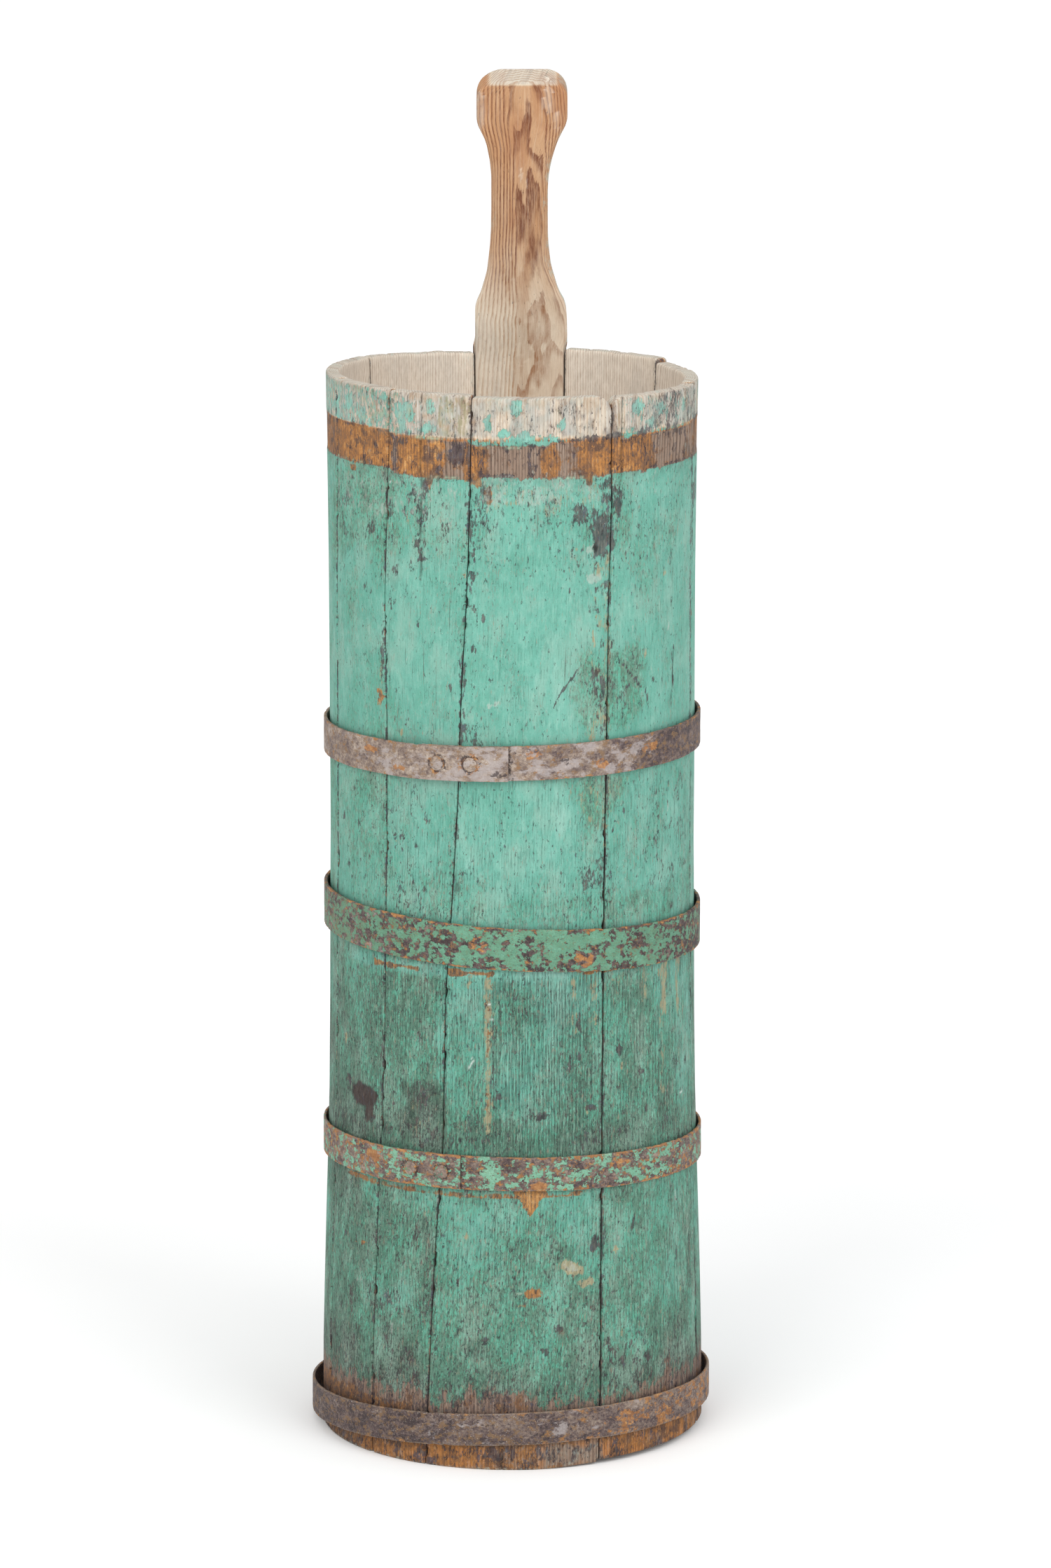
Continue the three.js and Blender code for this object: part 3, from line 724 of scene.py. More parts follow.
def weather_top(wear):
    """The weathered rim, above the band of the lost top hoop."""
    z, angle, fine = wear.z, wear.angle, wear.fine
    top = ease(708, 714, z + (wear.mid - 0.5) * 4)
    remnants = np.maximum.reduce([wear.blob(*row, rough=0.55) for row in TOP_REMNANTS])
    keep = wear.flecks(0.53, 0.60, 11, 13, 921, 4) * 0.75
    elsewhere = np.where(np.abs(angle) > 80, keep, keep * 0.35)
    tinge = 0.40 * ease(-16, -40, angle) + 0.26 * ease(26, 40, angle) + 0.10
    wear.fade(top,
              paint=np.maximum(np.maximum(remnants * 0.70, elsewhere * 0.7), tinge),
              line=0.42 + 0.25 * ease(0.4, 0.65, fine),
              hue=-0.10,
              tone=0.05 + 0.10 * wear.flecks(0.45, 0.7, 4, 40, 925, 3),
              dark=0.04 + 0.18 * ease(0.5, 0.75, wear.streak),
              fleck=0.46)
    wear.add("pale", top * ease(0.35, 0.6, wear.broad), 0.45)
    wear.strips("pale", [(-74, -14, 712, 744, 6, 4, .34, ease(0.36, 0.58, fine))], top)
    wear.add("dark", top * wear.flecks(0.54, 0.68, 5, 9, 971, 4), 0.26)
    wear.add("tan", top * wear.flecks(0.52, 0.66, 3, 50, 926, 3), 0.34)
    wear.strips("dark", [(44, 78, 712, 742, 2, 2.5, .42), (4, 26, 716, 738, 4, 4, .30)], top)
    wear.strips("tan", [(-23, -13, 712, 742, 2, 2.5, .5)], top)
    wear.blobs("pale", [(65, 720, 8, 5, .9)])
    wear.mark(top * wear.flecks(0.48, 0.60, 6, 12, 972, 4) * (np.abs(angle) < 90),
              (190, 206, 200), 0.42)
    wear.mark(top * wear.strip(-74, -12, 712, 742, 5, 3)
              * wear.flecks(0.56, 0.66, 4, 6, 973, 4), (204, 158, 110), 0.52)
    wear.mark(top * wear.strip(14, 80, 712, 742, 5, 3)
              * wear.flecks(0.57, 0.67, 4, 7, 974, 4), (134, 128, 128), 0.50)
    wear.daubs((196, 152, 104), [
        (.45, -11, 738, 10, 3), (.45, -24, 738, 5, 3), (.45, 8, 736, 7, 3), (.45, 24, 735, 7, 6),
        (.45, 51, 735, 8, 3)])
    wear.mark(ease(735.5, 738.5, z) * wear.flecks(0.42, 0.60, 5, 5, 951, 3),
              (188, 152, 116), 0.55)


# Tables of the lost hoop's band: angle, value
BAND_LOW = [(-180, 688), (-70, 689), (-41, 689), (-38, 685), (-14, 685), (-11, 686), (8, 686),
            (12, 685), (40, 686), (90, 687), (180, 688)]
BAND_HIGH = [(-180, 713), (-70, 715), (-41, 714), (-38, 711), (-14, 711), (-11, 707), (8, 707),
             (12, 709), (40, 710), (90, 712), (180, 713)]
BAND_RUST = [(-180, .6), (-150, .8), (-110, .5), (-75, .76), (-40, .84), (-38.5, .35), (-36, .8),
             (-30, .92), (-26, .62), (-22, .85), (-20, .3), (-15.5, .35), (-14, .7), (-12, .85),
             (-8, .7), (-6, .28), (8, .22), (10, .8), (13, .7), (15, .3), (20, .42), (22, .82),
             (30, .9), (45, .85), (50, .45), (60, .28), (70, .4), (90, .6), (130, .5), (150, .8),
             (180, .6)]
BAND_RUST_TONE = [(-180, .5), (-70, .55), (-40, .62), (-25, .75), (-12, .6), (-8, .3), (8, .3),
                  (20, .45), (25, .6), (40, .66), (50, .4), (80, .35), (180, .5)]


def weather_lost_hoop_band(wear):
    """The bare, rust-stained band the lost top hoop left."""
    z, angle, across, fine, mid = wear.z, wear.angle, wear.across, wear.fine, wear.mid
    ragged = (fine - 0.5) * 1.1
    low = lookup(BAND_LOW, angle) + ragged + (mid - 0.5) * 2.6
    high = lookup(BAND_HIGH, angle) + ragged + (mid - 0.5) * 2.6
    band = ease(-0.8, 0.8, z - low) * ease(-0.8, 0.8, high - z)
    rust = np.clip(lookup(BAND_RUST, angle) + (mid - 0.5) * 0.5, 0, 1)
    wear.value["rust"] = np.where(band > 0.02, band * rust, band)
    rust_tone = (lookup(BAND_RUST_TONE, angle) - 0.01 + (wear.broad - 0.5) * 0.9
                 + (wear.noise(6, 8, 961, 3) - 0.5) * 0.7)
    wear.fade(band, paint=0.0, tone=0.87, dark=0.16, pale=0.0, fleck=0.15, line=1.0, tan=0.0,
              rtone=np.clip(rust_tone, 0, 1))
    wear.blobs("dark", [(-17, 700, 8, 9, .9, .3), (-22, 690, 5, 3, .6), (34, 692, 9, 4, .4)], band)
    wear.strips("dark", [(-40.5, -37, 690, 714, 1.5, 2, .5),
                         (-13.6, -12.4, 684, 710, 1.0, 1, .6)], band)
    wear.add("dark", band * wear.flecks(0.52, 0.66, 7, 10, 962, 4), 0.46)

    # slightly raised rims, darker lines on both sides of them, and slivers of paint along them
    rims = {"low": bell(z - low, 0.9), "high": bell(z - high, 0.9)}
    wear.push += 0.35 * band
    wear.push -= 0.12 * rims["low"] + 0.12 * rims["high"]
    dark_line_above = bell(z - high - 1.6, 2.2) * ease(0.35, 0.6, mid)
    wear.add("dark", dark_line_above * (0.8 + 0.5 * ease(4, 12, angle)), 0.7)
    wear.add("dark", bell(z - low + 1.6, 1.8) * ease(0.4, 0.65, fine), 0.45)
    wear.add("dark", bell(z - low - 1.0, 1.0) * band * ease(0.35, 0.6, mid), 0.7)
    wear.add("dark", bell(high - z - 1.0, 1.0) * band * ease(0.35, 0.6, 1 - mid), 0.7)
    for left, right, rim in [(-27, -14, "low"), (-31, -21, "high"), (-10, 4, "high"),
                             (55, 72, "high"), (-70, -50, "low"), (30, 34, "low"),
                             (-7, -4, "low"), (14, 26, "low")]:
        along = ease(-1, 1, across - left * ARC) * ease(-1, 1, right * ARC - across)
        wear.mark(along * rims[rim] * ease(0.3, 0.5, fine), (176, 206, 176), 0.85)

    # rust and dirt run down below it
    wear.blobs("rust", [(-26, 681, 4, 5, .8), (-11, 683, 7, 5, .8), (24, 682, 3, 4, .8),
                        (-58, 685, 6, 3, .8)])
    wear.blobs("dark", [(-27, 679, 3.2, 6, .7)])
    below = low - z
    wear.mark(ease(12, 1, below) * ease(-1, 1, below) * wear.flecks(0.40, 0.62, 12, 6, 963, 4),
              (150, 168, 152), 0.42)
    wear.mark(ease(5, 0, below) * ease(-0.5, 0.5, below) * wear.flecks(0.46, 0.62, 8, 4, 964, 3),
              (112, 98, 78), 0.55)


def weather_upper_field(wear):
    """Between the lost hoop's band and the upper hoop."""
    fine, mid = wear.fine, wear.mid
    wear.hues([(-72, -20, 630, 684, 6, 10, .6, .52), (20, 46, 515, 566, 8, 8, .55, .75)])
    wear.strips("dark", [
        (-70, -19, 636, 668, 6, 8, .46, ease(0.38, 0.6, mid)),
        (-70, -20, 600, 684, 6, 8, .17), (-10, 30, 650, 686, 10, 10, .30),
        (-14.5, -11, 590, 678, 2.5, 3, .62, ease(0.35, 0.6, fine)),
        (-13, -8, 652, 680, 2.5, 4, .4),
        (-36, -31, 655, 676, 3, 3, .8, ease(0.45, 0.6, fine)),
        (-32, -26, 625, 680, 2, 4, .6, ease(0.5, 0.62, fine)),
        (26, 32, 500, 640, 3, 5, .42, ease(0.50, 0.64, fine)),
        (28, 31, 480, 530, 1.5, 3, .5),
        (33, 45, 520, 560, 4, 6, .42, ease(0.45, 0.6, fine)),
        (-16.5, -14.2, 480, 560, 2, 3, .66, ease(0.38, 0.6, fine)),
        (-16, -8, 495, 520, 4, 6, .34), (74, 77, 480, 690, 2, 3, .5),
        (76, 90, 640, 684, 4, 6, .55, ease(0.4, 0.6, mid))])
    wear.strips("pale", [
        (-70, -14, 650, 686, 10, 8, .44, 0.6 + 0.4 * ease(0.35, 0.62, fine)),
        (-9, 30, 662, 688, 12, 10, .50, 0.55 + 0.45 * ease(0.35, 0.62, mid)),
        (38, 66, 664, 684, 4, 5, .34), (23, 30.5, 560, 632, 4, 5, .3),
        (66, 84, 470, 700, 6, 8, .34)])
    wear.strips("tan", [
        (-70, -24, 640, 684, 6, 8, .26, ease(0.4, 0.6, fine)), (-10, 30, 658, 688, 10, 10, .36),
        (25, 31.5, 500, 640, 4, 5, .46, ease(0.34, 0.6, mid)),
        (29, 31.5, 430, 640, 1.5, 2, .4), (17, 24, 565, 625, 6, 8, .2)])
    wear.blobs("dark", [
        (28.5, 646, 12, 24, .88, .9, 0, (.2, 1.1)), (22, 660, 10, 10, .55, .9, 0, (.2, 1.1)),
        (30, 672, 6, 16, .70, .7, 0, (.2, 1.2)), (34.5, 664, 5.0, 24, .74, .6, 0, (.2, 1.2)),
        (27, 543, 18, 17, .50, 1.0, 0, (.1, 1.2)), (26, 552, 6, 7, .75, .7, 0, (.2, 1.2)),
        (17, 545, .9, 17, .85, .35, -38), (13.5, 533, .8, 8, .85, .35, -30),
        (41, 545, 1.0, 18, .85, .35, 42), (46.5, 530, .9, 10, .85, .35, 12),
        (36, 556, .9, 8, .85, .35, 60), (60, 545, 1.1, 26, .75, .4, 6),
        (-44, 565, 2.4, 24, .55, .9)])
    wear.blobs("rust", [(-7, 675, 4, 7, .75), (34, 680, 5, 7, .5), (-45, 531, 4, 7, .72, .7)])
    wear.blobs("rust", [(46, 672, 14, 6, .4)], ease(0.45, 0.6, fine))
    wear.blobs("pale", [(25.5, 616, 7, 3.5, .9), (24.5, 636, 4, 5, .8, .7),
                        (-5, 533, 6, 4, .75, .9, 30)])
    wear.blobs("tan", [(-44, 545, 3, 26, .4, .9)])
    # a small dark hole, and two white nicks
    wear.daubs((34, 26, 24), [(1.0, 26.5, 637, 2.6, 3.0, .15, 0, (.6, 1.1))])
    wear.push += 2.6 * wear.blob(26.5, 637, 2.2, 2.6, rough=0.1)
    wear.daubs((216, 226, 210), [(.9, -62, 571, 1.6, 1.6)])
    wear.daubs((236, 238, 230), [(.95, -40, 679, 1.2, 1.2)])


def weather_below_upper_hoop(wear):
    """Between the upper and the second hoop."""
    z, fine, mid = wear.z, wear.fine, wear.mid
    wedge = (z - 440) - np.abs(wear.across - 27 * ARC) * 1.35 + (mid - 0.5) * 10
    wedge = ease(0, 3, wedge) * ease(482, 478, z)  # a triangle standing on its point
    wear.add("tan", wedge, 0.34)
    wear.fade(wedge * 0.6, hue=0.62)
    wear.hues([(-15, 20, 415, 480, 8, 8, .7, .10), (-15, 60, 376, 398, 5, 6, .6, .55)])
    wear.daubs((52, 44, 40), [(.95, 29, 446, 1.6, 3.4, .3)])
    wear.daubs((58, 54, 50), [(.85, -17, 406, 2.0, 3.6)])
    wear.strips("dark", [(45, 70, 390, 470, 8, 8, .42, ease(0.42, 0.62, fine)),
                         (-60, -25, 380, 476, 8, 8, .36, ease(0.48, 0.62, fine)),
                         (22, 36, 380, 430, 4, 5, .4, ease(0.42, 0.6, fine))])
    wear.strips("pale", [(48, 70, 400, 470, 8, 8, .3, ease(0.42, 0.6, mid))])


def weather_below_second_hoop(wear):
    """Between the second and the third hoop."""
    fine = wear.fine
    wear.hues([(-60, 75, 343, 352, 2, 2, .8, .05), (-36, -22, 224, 268, 6, 7, 1, .9),
               (28, 50, 225, 345, 6, 8, .5, .62), (-42, -24, 268, 344, 6, 8, .5, .74)])
    wear.fade(wear.strip(-8, 26, 226, 344, 6, 6), grain=0.98)
    wear.strips("rust", [
        (-20, -5, 345, 349.5, 1.0, 1.2, .75), (20, 62, 345, 349.5, 1.0, 1.2, .75),
        (-48, -30, 345, 349.5, 1.0, 1.2, .75),
        (-8.4, -6.8, 250, 330, 1.2, 2.0, .5, ease(0.4, 0.6, fine))])
    wear.strips("tan", [
        (-8.4, -6.2, 236, 346, 1.6, 2.4, .58), (-9.2, -5.2, 240, 346, 3.0, 3.6, .38),
        (-9.5, -3.5, 300, 346, 2.5, 3.0, .34), (18.5, 20.5, 305, 346, 2, 3, .45),
        (25, 27.5, 308, 346, 2, 3, .42), (20, 60, 334, 347, 4, 5, .4, ease(0.4, 0.6, fine)),
        (53, 57, 306, 344, 2.5, 3, .62), (44, 47, 318, 346, 2.5, 3, .5),
        (62, 65, 300, 346, 2.5, 3, .5), (52.5, 55.5, 250, 306, 1.6, 3, .4),
        (-35, -24, 226, 262, 5, 6, .30)])
    wear.strips("dark", [(-6.6, -4.4, 240, 340, 1.4, 2.4, .34), (-35, -23, 224, 268, 5, 7, .44)])
    wear.strips("pale", [(30, 60, 330, 344, 4, 4, .3), (50, 80, 225, 345, 8, 10, .16)])
    wear.blobs("dark", [
        (35, 289, 4.2, 4.6, .9, .45), (44, 272, 4, 3, .7, .45), (25, 252, 5, 3, .7, .45),
        (9, 248, 9, 4.5, .75, .45), (21, 312, 3, 9, .75, .45), (19, 300, 2, 6, .6, .45),
        (62, 272, 9, 7, .4, .45), (70, 268, 4, 5, .5, .45), (-4, 262, 4, 3, .5, .45),
        (50, 250, 6, 3, .4, .45), (-53, 251, 17, 10.5, .97, .42), (-50, 240, 6, 8, .9),
        (-62, 259, 5, 5, .8)])
    wear.daubs((60, 46, 41), [(.97, -53, 251, 16, 9.5, .55, 0, (.75, 1.05))])
    wear.daubs((64, 50, 44), [(.9, -50, 241, 6, 8, .6, 0, (.6, 1.1))])
    wear.daubs((226, 234, 226), [
        (.95, -7, 326, 1.6, 1.5, .2), (.95, -12, 287, 1.4, 3.2, .2, 20),
        (.95, -5, 315, .8, 6, .2, 78), (.95, -13, 283, .9, 4, .2, -30),
        (.95, 4, 210, .9, 2, .2), (.95, 66, 246, 3.5, 1.2, .2)])
    wear.blobs("pale", [
        (-12, 300, 6, 10, .35, .7), (68, 291, 10, 4, .35, .7), (65, 250, 10, 4, .35, .7),
        (-30, 300, 6, 8, .35, .7), (-8, 276, 5, 8, .35, .7)])


def weather_below_third_hoop(wear):
    """Between the third hoop and the foot."""
    z, fine = wear.z, wear.fine
    tear = (z - 178) - np.abs(wear.across - 5.5 * ARC) * 1.5 + (fine - 0.5) * 5
    tear = ease(0, 2.0, tear) * ease(200, 197, z)
    wear.add("rust", tear, 0.95)
    wear.fade(tear, rtone=0.85)
    wear.fade(ease(190, 60, z) * 0.25, hue=0.75)
    wear.hues([(27, 75, 60, 195, 8, 10, .5, .58)])
    wear.strips("rust", [(-62, 22, 190.5, 194.5, 1.2, 1.2, .62)])
    wear.blobs("tan", [(18, 141, 10, 6, .85, .4, -20), (23, 130, 7, 5, .66, .4),
                       (33, 150, 3, 3, .8)])
    wear.blobs("pale", [(18, 142, 9, 5, .5, .5, -20), (-54, 120, 7, 4, .5, .8)])
    wear.blobs("rust", [(6.5, 124, 7, 5, .85, .5), (3, 116, 4, 3, .6, .5),
                        (-52, 147, 10, 1.6, .7, .5, 8)])
    wear.blobs("dark", [(14, 98, 5, 5, .8, .5), (26, 156, 4.5, 8, .7, .5), (10, 84, 4, 3, .8),
                        (-8, 91, 3, 4, .85, .4)])
    wear.daubs((150, 92, 62), [(.6, 15, 96, 3.5, 3)])
    wear.daubs((196, 212, 190), [(.7, 2, 125, .9, 4, .2, 78)])
    wear.daubs((212, 224, 208), [
        (.75, 69, 146, .8, 9, .2, -35), (.75, 73, 140, .8, 7, .2, -60),
        (.75, 66, 152, .8, 5, .2, 40), (.75, 76, 132, .8, 6, .2, -20),
        (.75, -14, 168, .8, 9, .2, 88), (.75, -40, 112, .8, 7, .2, 60),
        (.75, 34, 158, .8, 4, .2, 10)])
    wear.strips("dark", [(26, 46, 66, 92, 6, 6, .5, ease(0.35, 0.6, fine)),
                         (-72, -26, 62, 120, 8, 8, .4, ease(0.42, 0.62, wear.mid)),
                         (-72, -26, 120, 188, 6, 8, .3, ease(0.5, 0.7, fine))])
    # painted light: a pale grey wash over the right side of the lower field
    wear.strips("pale", [(40, 80, 60, 190, 8, 10, .20)])


def weather_foot(wear):
    """The foot: paint worn away, stained wood, the loose hoop's rust."""
    z, angle, fine, mid, broad = wear.z, wear.angle, wear.fine, wear.mid, wear.broad
    edge = (44 + (broad - 0.5) * 30 + (mid - 0.5) * 20 + (fine - 0.5) * 7
            + 3 * ease(12, 40, angle) + 3 * ease(-10, -50, angle))
    above = z - edge
    foot = ease(20.0, -13.0, above + (wear.noise(3, 26, 933, 3) - 0.5) * 16)
    near = ease(46, 6, above)
    wear.fade(near * (0.25 + 0.5 * ease(18, 42, angle) + 0.45 * ease(-12, -34, angle)), hue=0.95)
    wear.add("dark", near * ease(0.40, 0.62, fine), 0.42)
    wear.add("fleck", near, 0.9)
    wear.fade(foot, paint=0.0, tone=0.98, fleck=0.45, line=0.8, tan=0.0, pale=0.07, rust=0.22,
              dark=0.38, rtone=0.25)
    wear.add("rust", foot * ease(0.50, 0.64, mid), 0.62)
    wear.add("dark", bell(above, 8.0), 0.44)
    wear.add("tan", bell(above - 4, 9.0), 0.16)
    wear.add("pale", bell(above - 3, 3.0) * ease(0.5, 0.7, mid), 0.4)
    wear.strips("rust", [(-84, -33, 28, 43, 3, 4, .72)])
    amber = ease(24, 15, z + (mid - 0.5) * 6)
    wear.fade(amber, tone=0.64 + 0.22 * ease(0.45, 0.62, broad), rust=0.62, rtone=0.50,
              dark=0.16 + 0.22 * ease(-20, -60, angle))
    wear.add("dark", amber * ease(0.48, 0.62, mid), 0.55)
    wear.strips("pale", [(8, 30, 0, 18, 3, 4, .35)], amber)
    wear.add("pale", ease(4, 0, z), 0.55)
    wear.fade(wear.strip(8, 30, 2, 16, 3, 4) * 0.6, rust=0.1)


def weather_hoop_edges_and_joints(wear):
    """Dirt and painted shade in level bands by the hoops' edges, and dirt along the joints."""
    z, seam, seed = wear.z, wear.seam, wear.seed
    # dirt with painted shade: dark level bands at and beside the hoops' edges, where the hoops meet
    # the staves
    for height, width, amount in [(232, 9, .40), (216, 6, .4), (470, 12, .16), (505, 12, .14),
                                  (385, 9, .22), (190, 10, .22), (340, 10, .18)]:
        band = bell(z - height + (wear.mid - 0.5) * 14, width)
        wear.add("dark", band * ease(0.25, 0.6, wear.broad), amount)
    wear.fade(bell(z - 228, 14) * 0.6, hue=0.8)

    rim = np.exp(-seam / 1.6)
    wear.add("dark", rim * ease(0.3, 0.6, fractal(z / 14, 0.0, seed + 5, 3)), 0.72)
    wear.add("dark", rim, 0.30)
    wear.add("dark", np.exp(-seam / 5.0) * ease(0.42, 0.62, fractal(z / 34, 1.0, seed + 9, 3)), 0.40)
    chipped = np.exp(-seam / 0.9) * ease(0.4, 0.6, fractal(z / 9, 3.0, seed + 6, 3))
    wear.value["paint"] = wear.value["paint"] * (1 - 0.5 * chipped)


def weather_back(wear):
    """Random marks all round the back."""
    rng = np.random.RandomState(4242)
    for _ in range(150):
        angle = rng.uniform(88, 272)
        angle = angle - 360 if angle > 180 else angle
        z, kind = rng.uniform(50, 690), rng.rand()
        width, height = rng.uniform(1.2, 8), rng.uniform(2, 16)
        if kind < 0.5:
            mask = wear.blob(angle, z, width, height, 0.9, rng.uniform(-15, 15), (0.2, 1.2))
            wear.add("dark", mask, rng.uniform(0.3, 0.66))
        elif kind < 0.7:
            mask = wear.blob(angle, z, width, height, 0.7, rng.uniform(-15, 15))
            wear.add("pale", mask, rng.uniform(0.3, 0.8))
        elif kind < 0.85:
            wear.add("tan", wear.blob(angle, z, width * 0.7, height, 0.7), rng.uniform(0.3, 0.8))
        else:
            wear.add("rust", wear.blob(angle, z, width, height * 0.6), rng.uniform(0.5, 0.9))
    for _ in range(36):
        angle = rng.uniform(80, 280)
        angle = angle - 360 if angle > 180 else angle
        z, height, turn = rng.uniform(60, 680), rng.uniform(2, 9), rng.uniform(-80, 80)
        wear.mark(wear.blob(angle, z, 0.8, height, 0.2, turn), (206, 220, 202),
                  rng.uniform(0.4, 0.8))


CRACKS = [  # line as (height, angle), low, high, depth, width, taper
    ([(600, -28.9), (740, -28.4)], 596, 741, 0.9, 1.0, 50),
    ([(650, 35.2), (740, 35.9)], 655, 741, 0.9, 1.0, 40),
    ([(0, -3.3), (60, -3.0)], -1, 62, 0.9, 1.0, 26),
    ([(515, 59), (565, 61)], 515, 565, 0.5, 0.9, 14),
    ([(200, 148), (420, 147)], 200, 420, 0.7, 0.9, 40),
    ([(560, -142), (740, -141)], 560, 741, 0.9, 1.0, 50),
    ([(0, 100), (120, 100.6)], -1, 120, 0.8, 1.0, 30),
    ([(0, -96), (200, -95)], -1, 190, 0.8, 1.0, 40)]


def weather_outside(wear):
    """All the wear of the outer face. The order matters where a step fades earlier ones."""
    for step in (weather_overall, weather_top, weather_lost_hoop_band, weather_upper_field,
                 weather_below_upper_hoop, weather_below_second_hoop, weather_below_third_hoop,
                 weather_foot, weather_hoop_edges_and_joints, weather_back):
        step(wear)
    for row in CRACKS:
        wear.crack(*row)


def weather_inside_and_ends(wear, points, depth, local, part, inset, is_handle):
    """Bare wood within, on the joint faces and at the ends. depth: 0 outside to 1 inside."""
    z, seed, value = points[:, 2], wear.seed, wear.value
    inside = ease(0.45, 0.7, depth) if is_handle else ease(0.5, 0.8, depth)
    wear.fade(inside, paint=0.0, rust=0.0, tan=0.0, dark=0.10, pale=0.08, fleck=0.12, grain=0.0,
              line=0.55, tone=0.22)
    wear.spot_share *= (1 - inside)

    # painted light near the mouth, a near-white wash over the inner faces; redder and stained lower
    # down
    patch = fractal(local / 26, z / 70, seed + 30, 4)
    warm = ease(735, 620, z) * 0.12 + (patch - 0.5) * 0.22
    stained = 0.01 + 0.4 * ease(120, 30, z) + 0.16 * ease(0.6, 0.8, patch)
    for key, level in (
            ("tone", np.clip(0.13 + warm, 0.05, 0.6)),
            ("pale", 0.08 + 0.3 * ease(0.5, 0.66, patch) * ease(600, 730, z)),
            ("dark", np.maximum(stained, 0.70 * np.exp(-wear.seam / 0.9))),
            ("line", 1.0)):
        value[key] = np.where(inside > 0.5, level, value[key])
    # painted light: the inner faces are washed towards near-white near the mouth
    bleach_and_painted_light = 0.68 * ease(560, 700, z) * (0.75 + 0.6 * (patch - 0.5))
    bleach_and_painted_light = (1 - np.exp(-wear.seam / 1.3)) * np.where(inside > 0.5, bleach_and_painted_light, 0.0)
    wear.spot = np.where((bleach_and_painted_light > 0)[:, None], np.array(srgb(250, 240, 226)[:3]), wear.spot)
    wear.spot_share = np.maximum(wear.spot_share, bleach_and_painted_light)

    # joint faces and end grain
    side = np.isin(part, (SIDE, INNER_CORNER)) * (1 - inside)
    wear.fade(side, paint=0.0, dark=0.55, tone=0.8, rust=0.0, pale=0.0)
    ends = np.clip(inset, 0, 1)
    wear.fade(ends * (z > 400), paint=0.06, tone=0.08, dark=0.16, pale=0.42, line=0.8, rust=0.0,
              fleck=0.3, tan=0.12)
    wear.fade(ends * (z <= 400), paint=0.0, tone=0.85, dark=0.4, pale=0.2, rust=0.15)
    wear.spot_share *= (1 - ends) * (1 - side)


HANDLE_SCARS = [  # dark worn marks: x, z, half width, half height, amount
    (-22.5, 908, 2.8, 14, .7), (25, 914, 3.2, 12, .42), (30, 900, 2, 8, .3), (6, 862, 1.0, 4, .5),
    (10, 857, .8, 4, .4), (-24, 890, 2, 5, .35), (-25, 742, 1.6, 16, .35)]


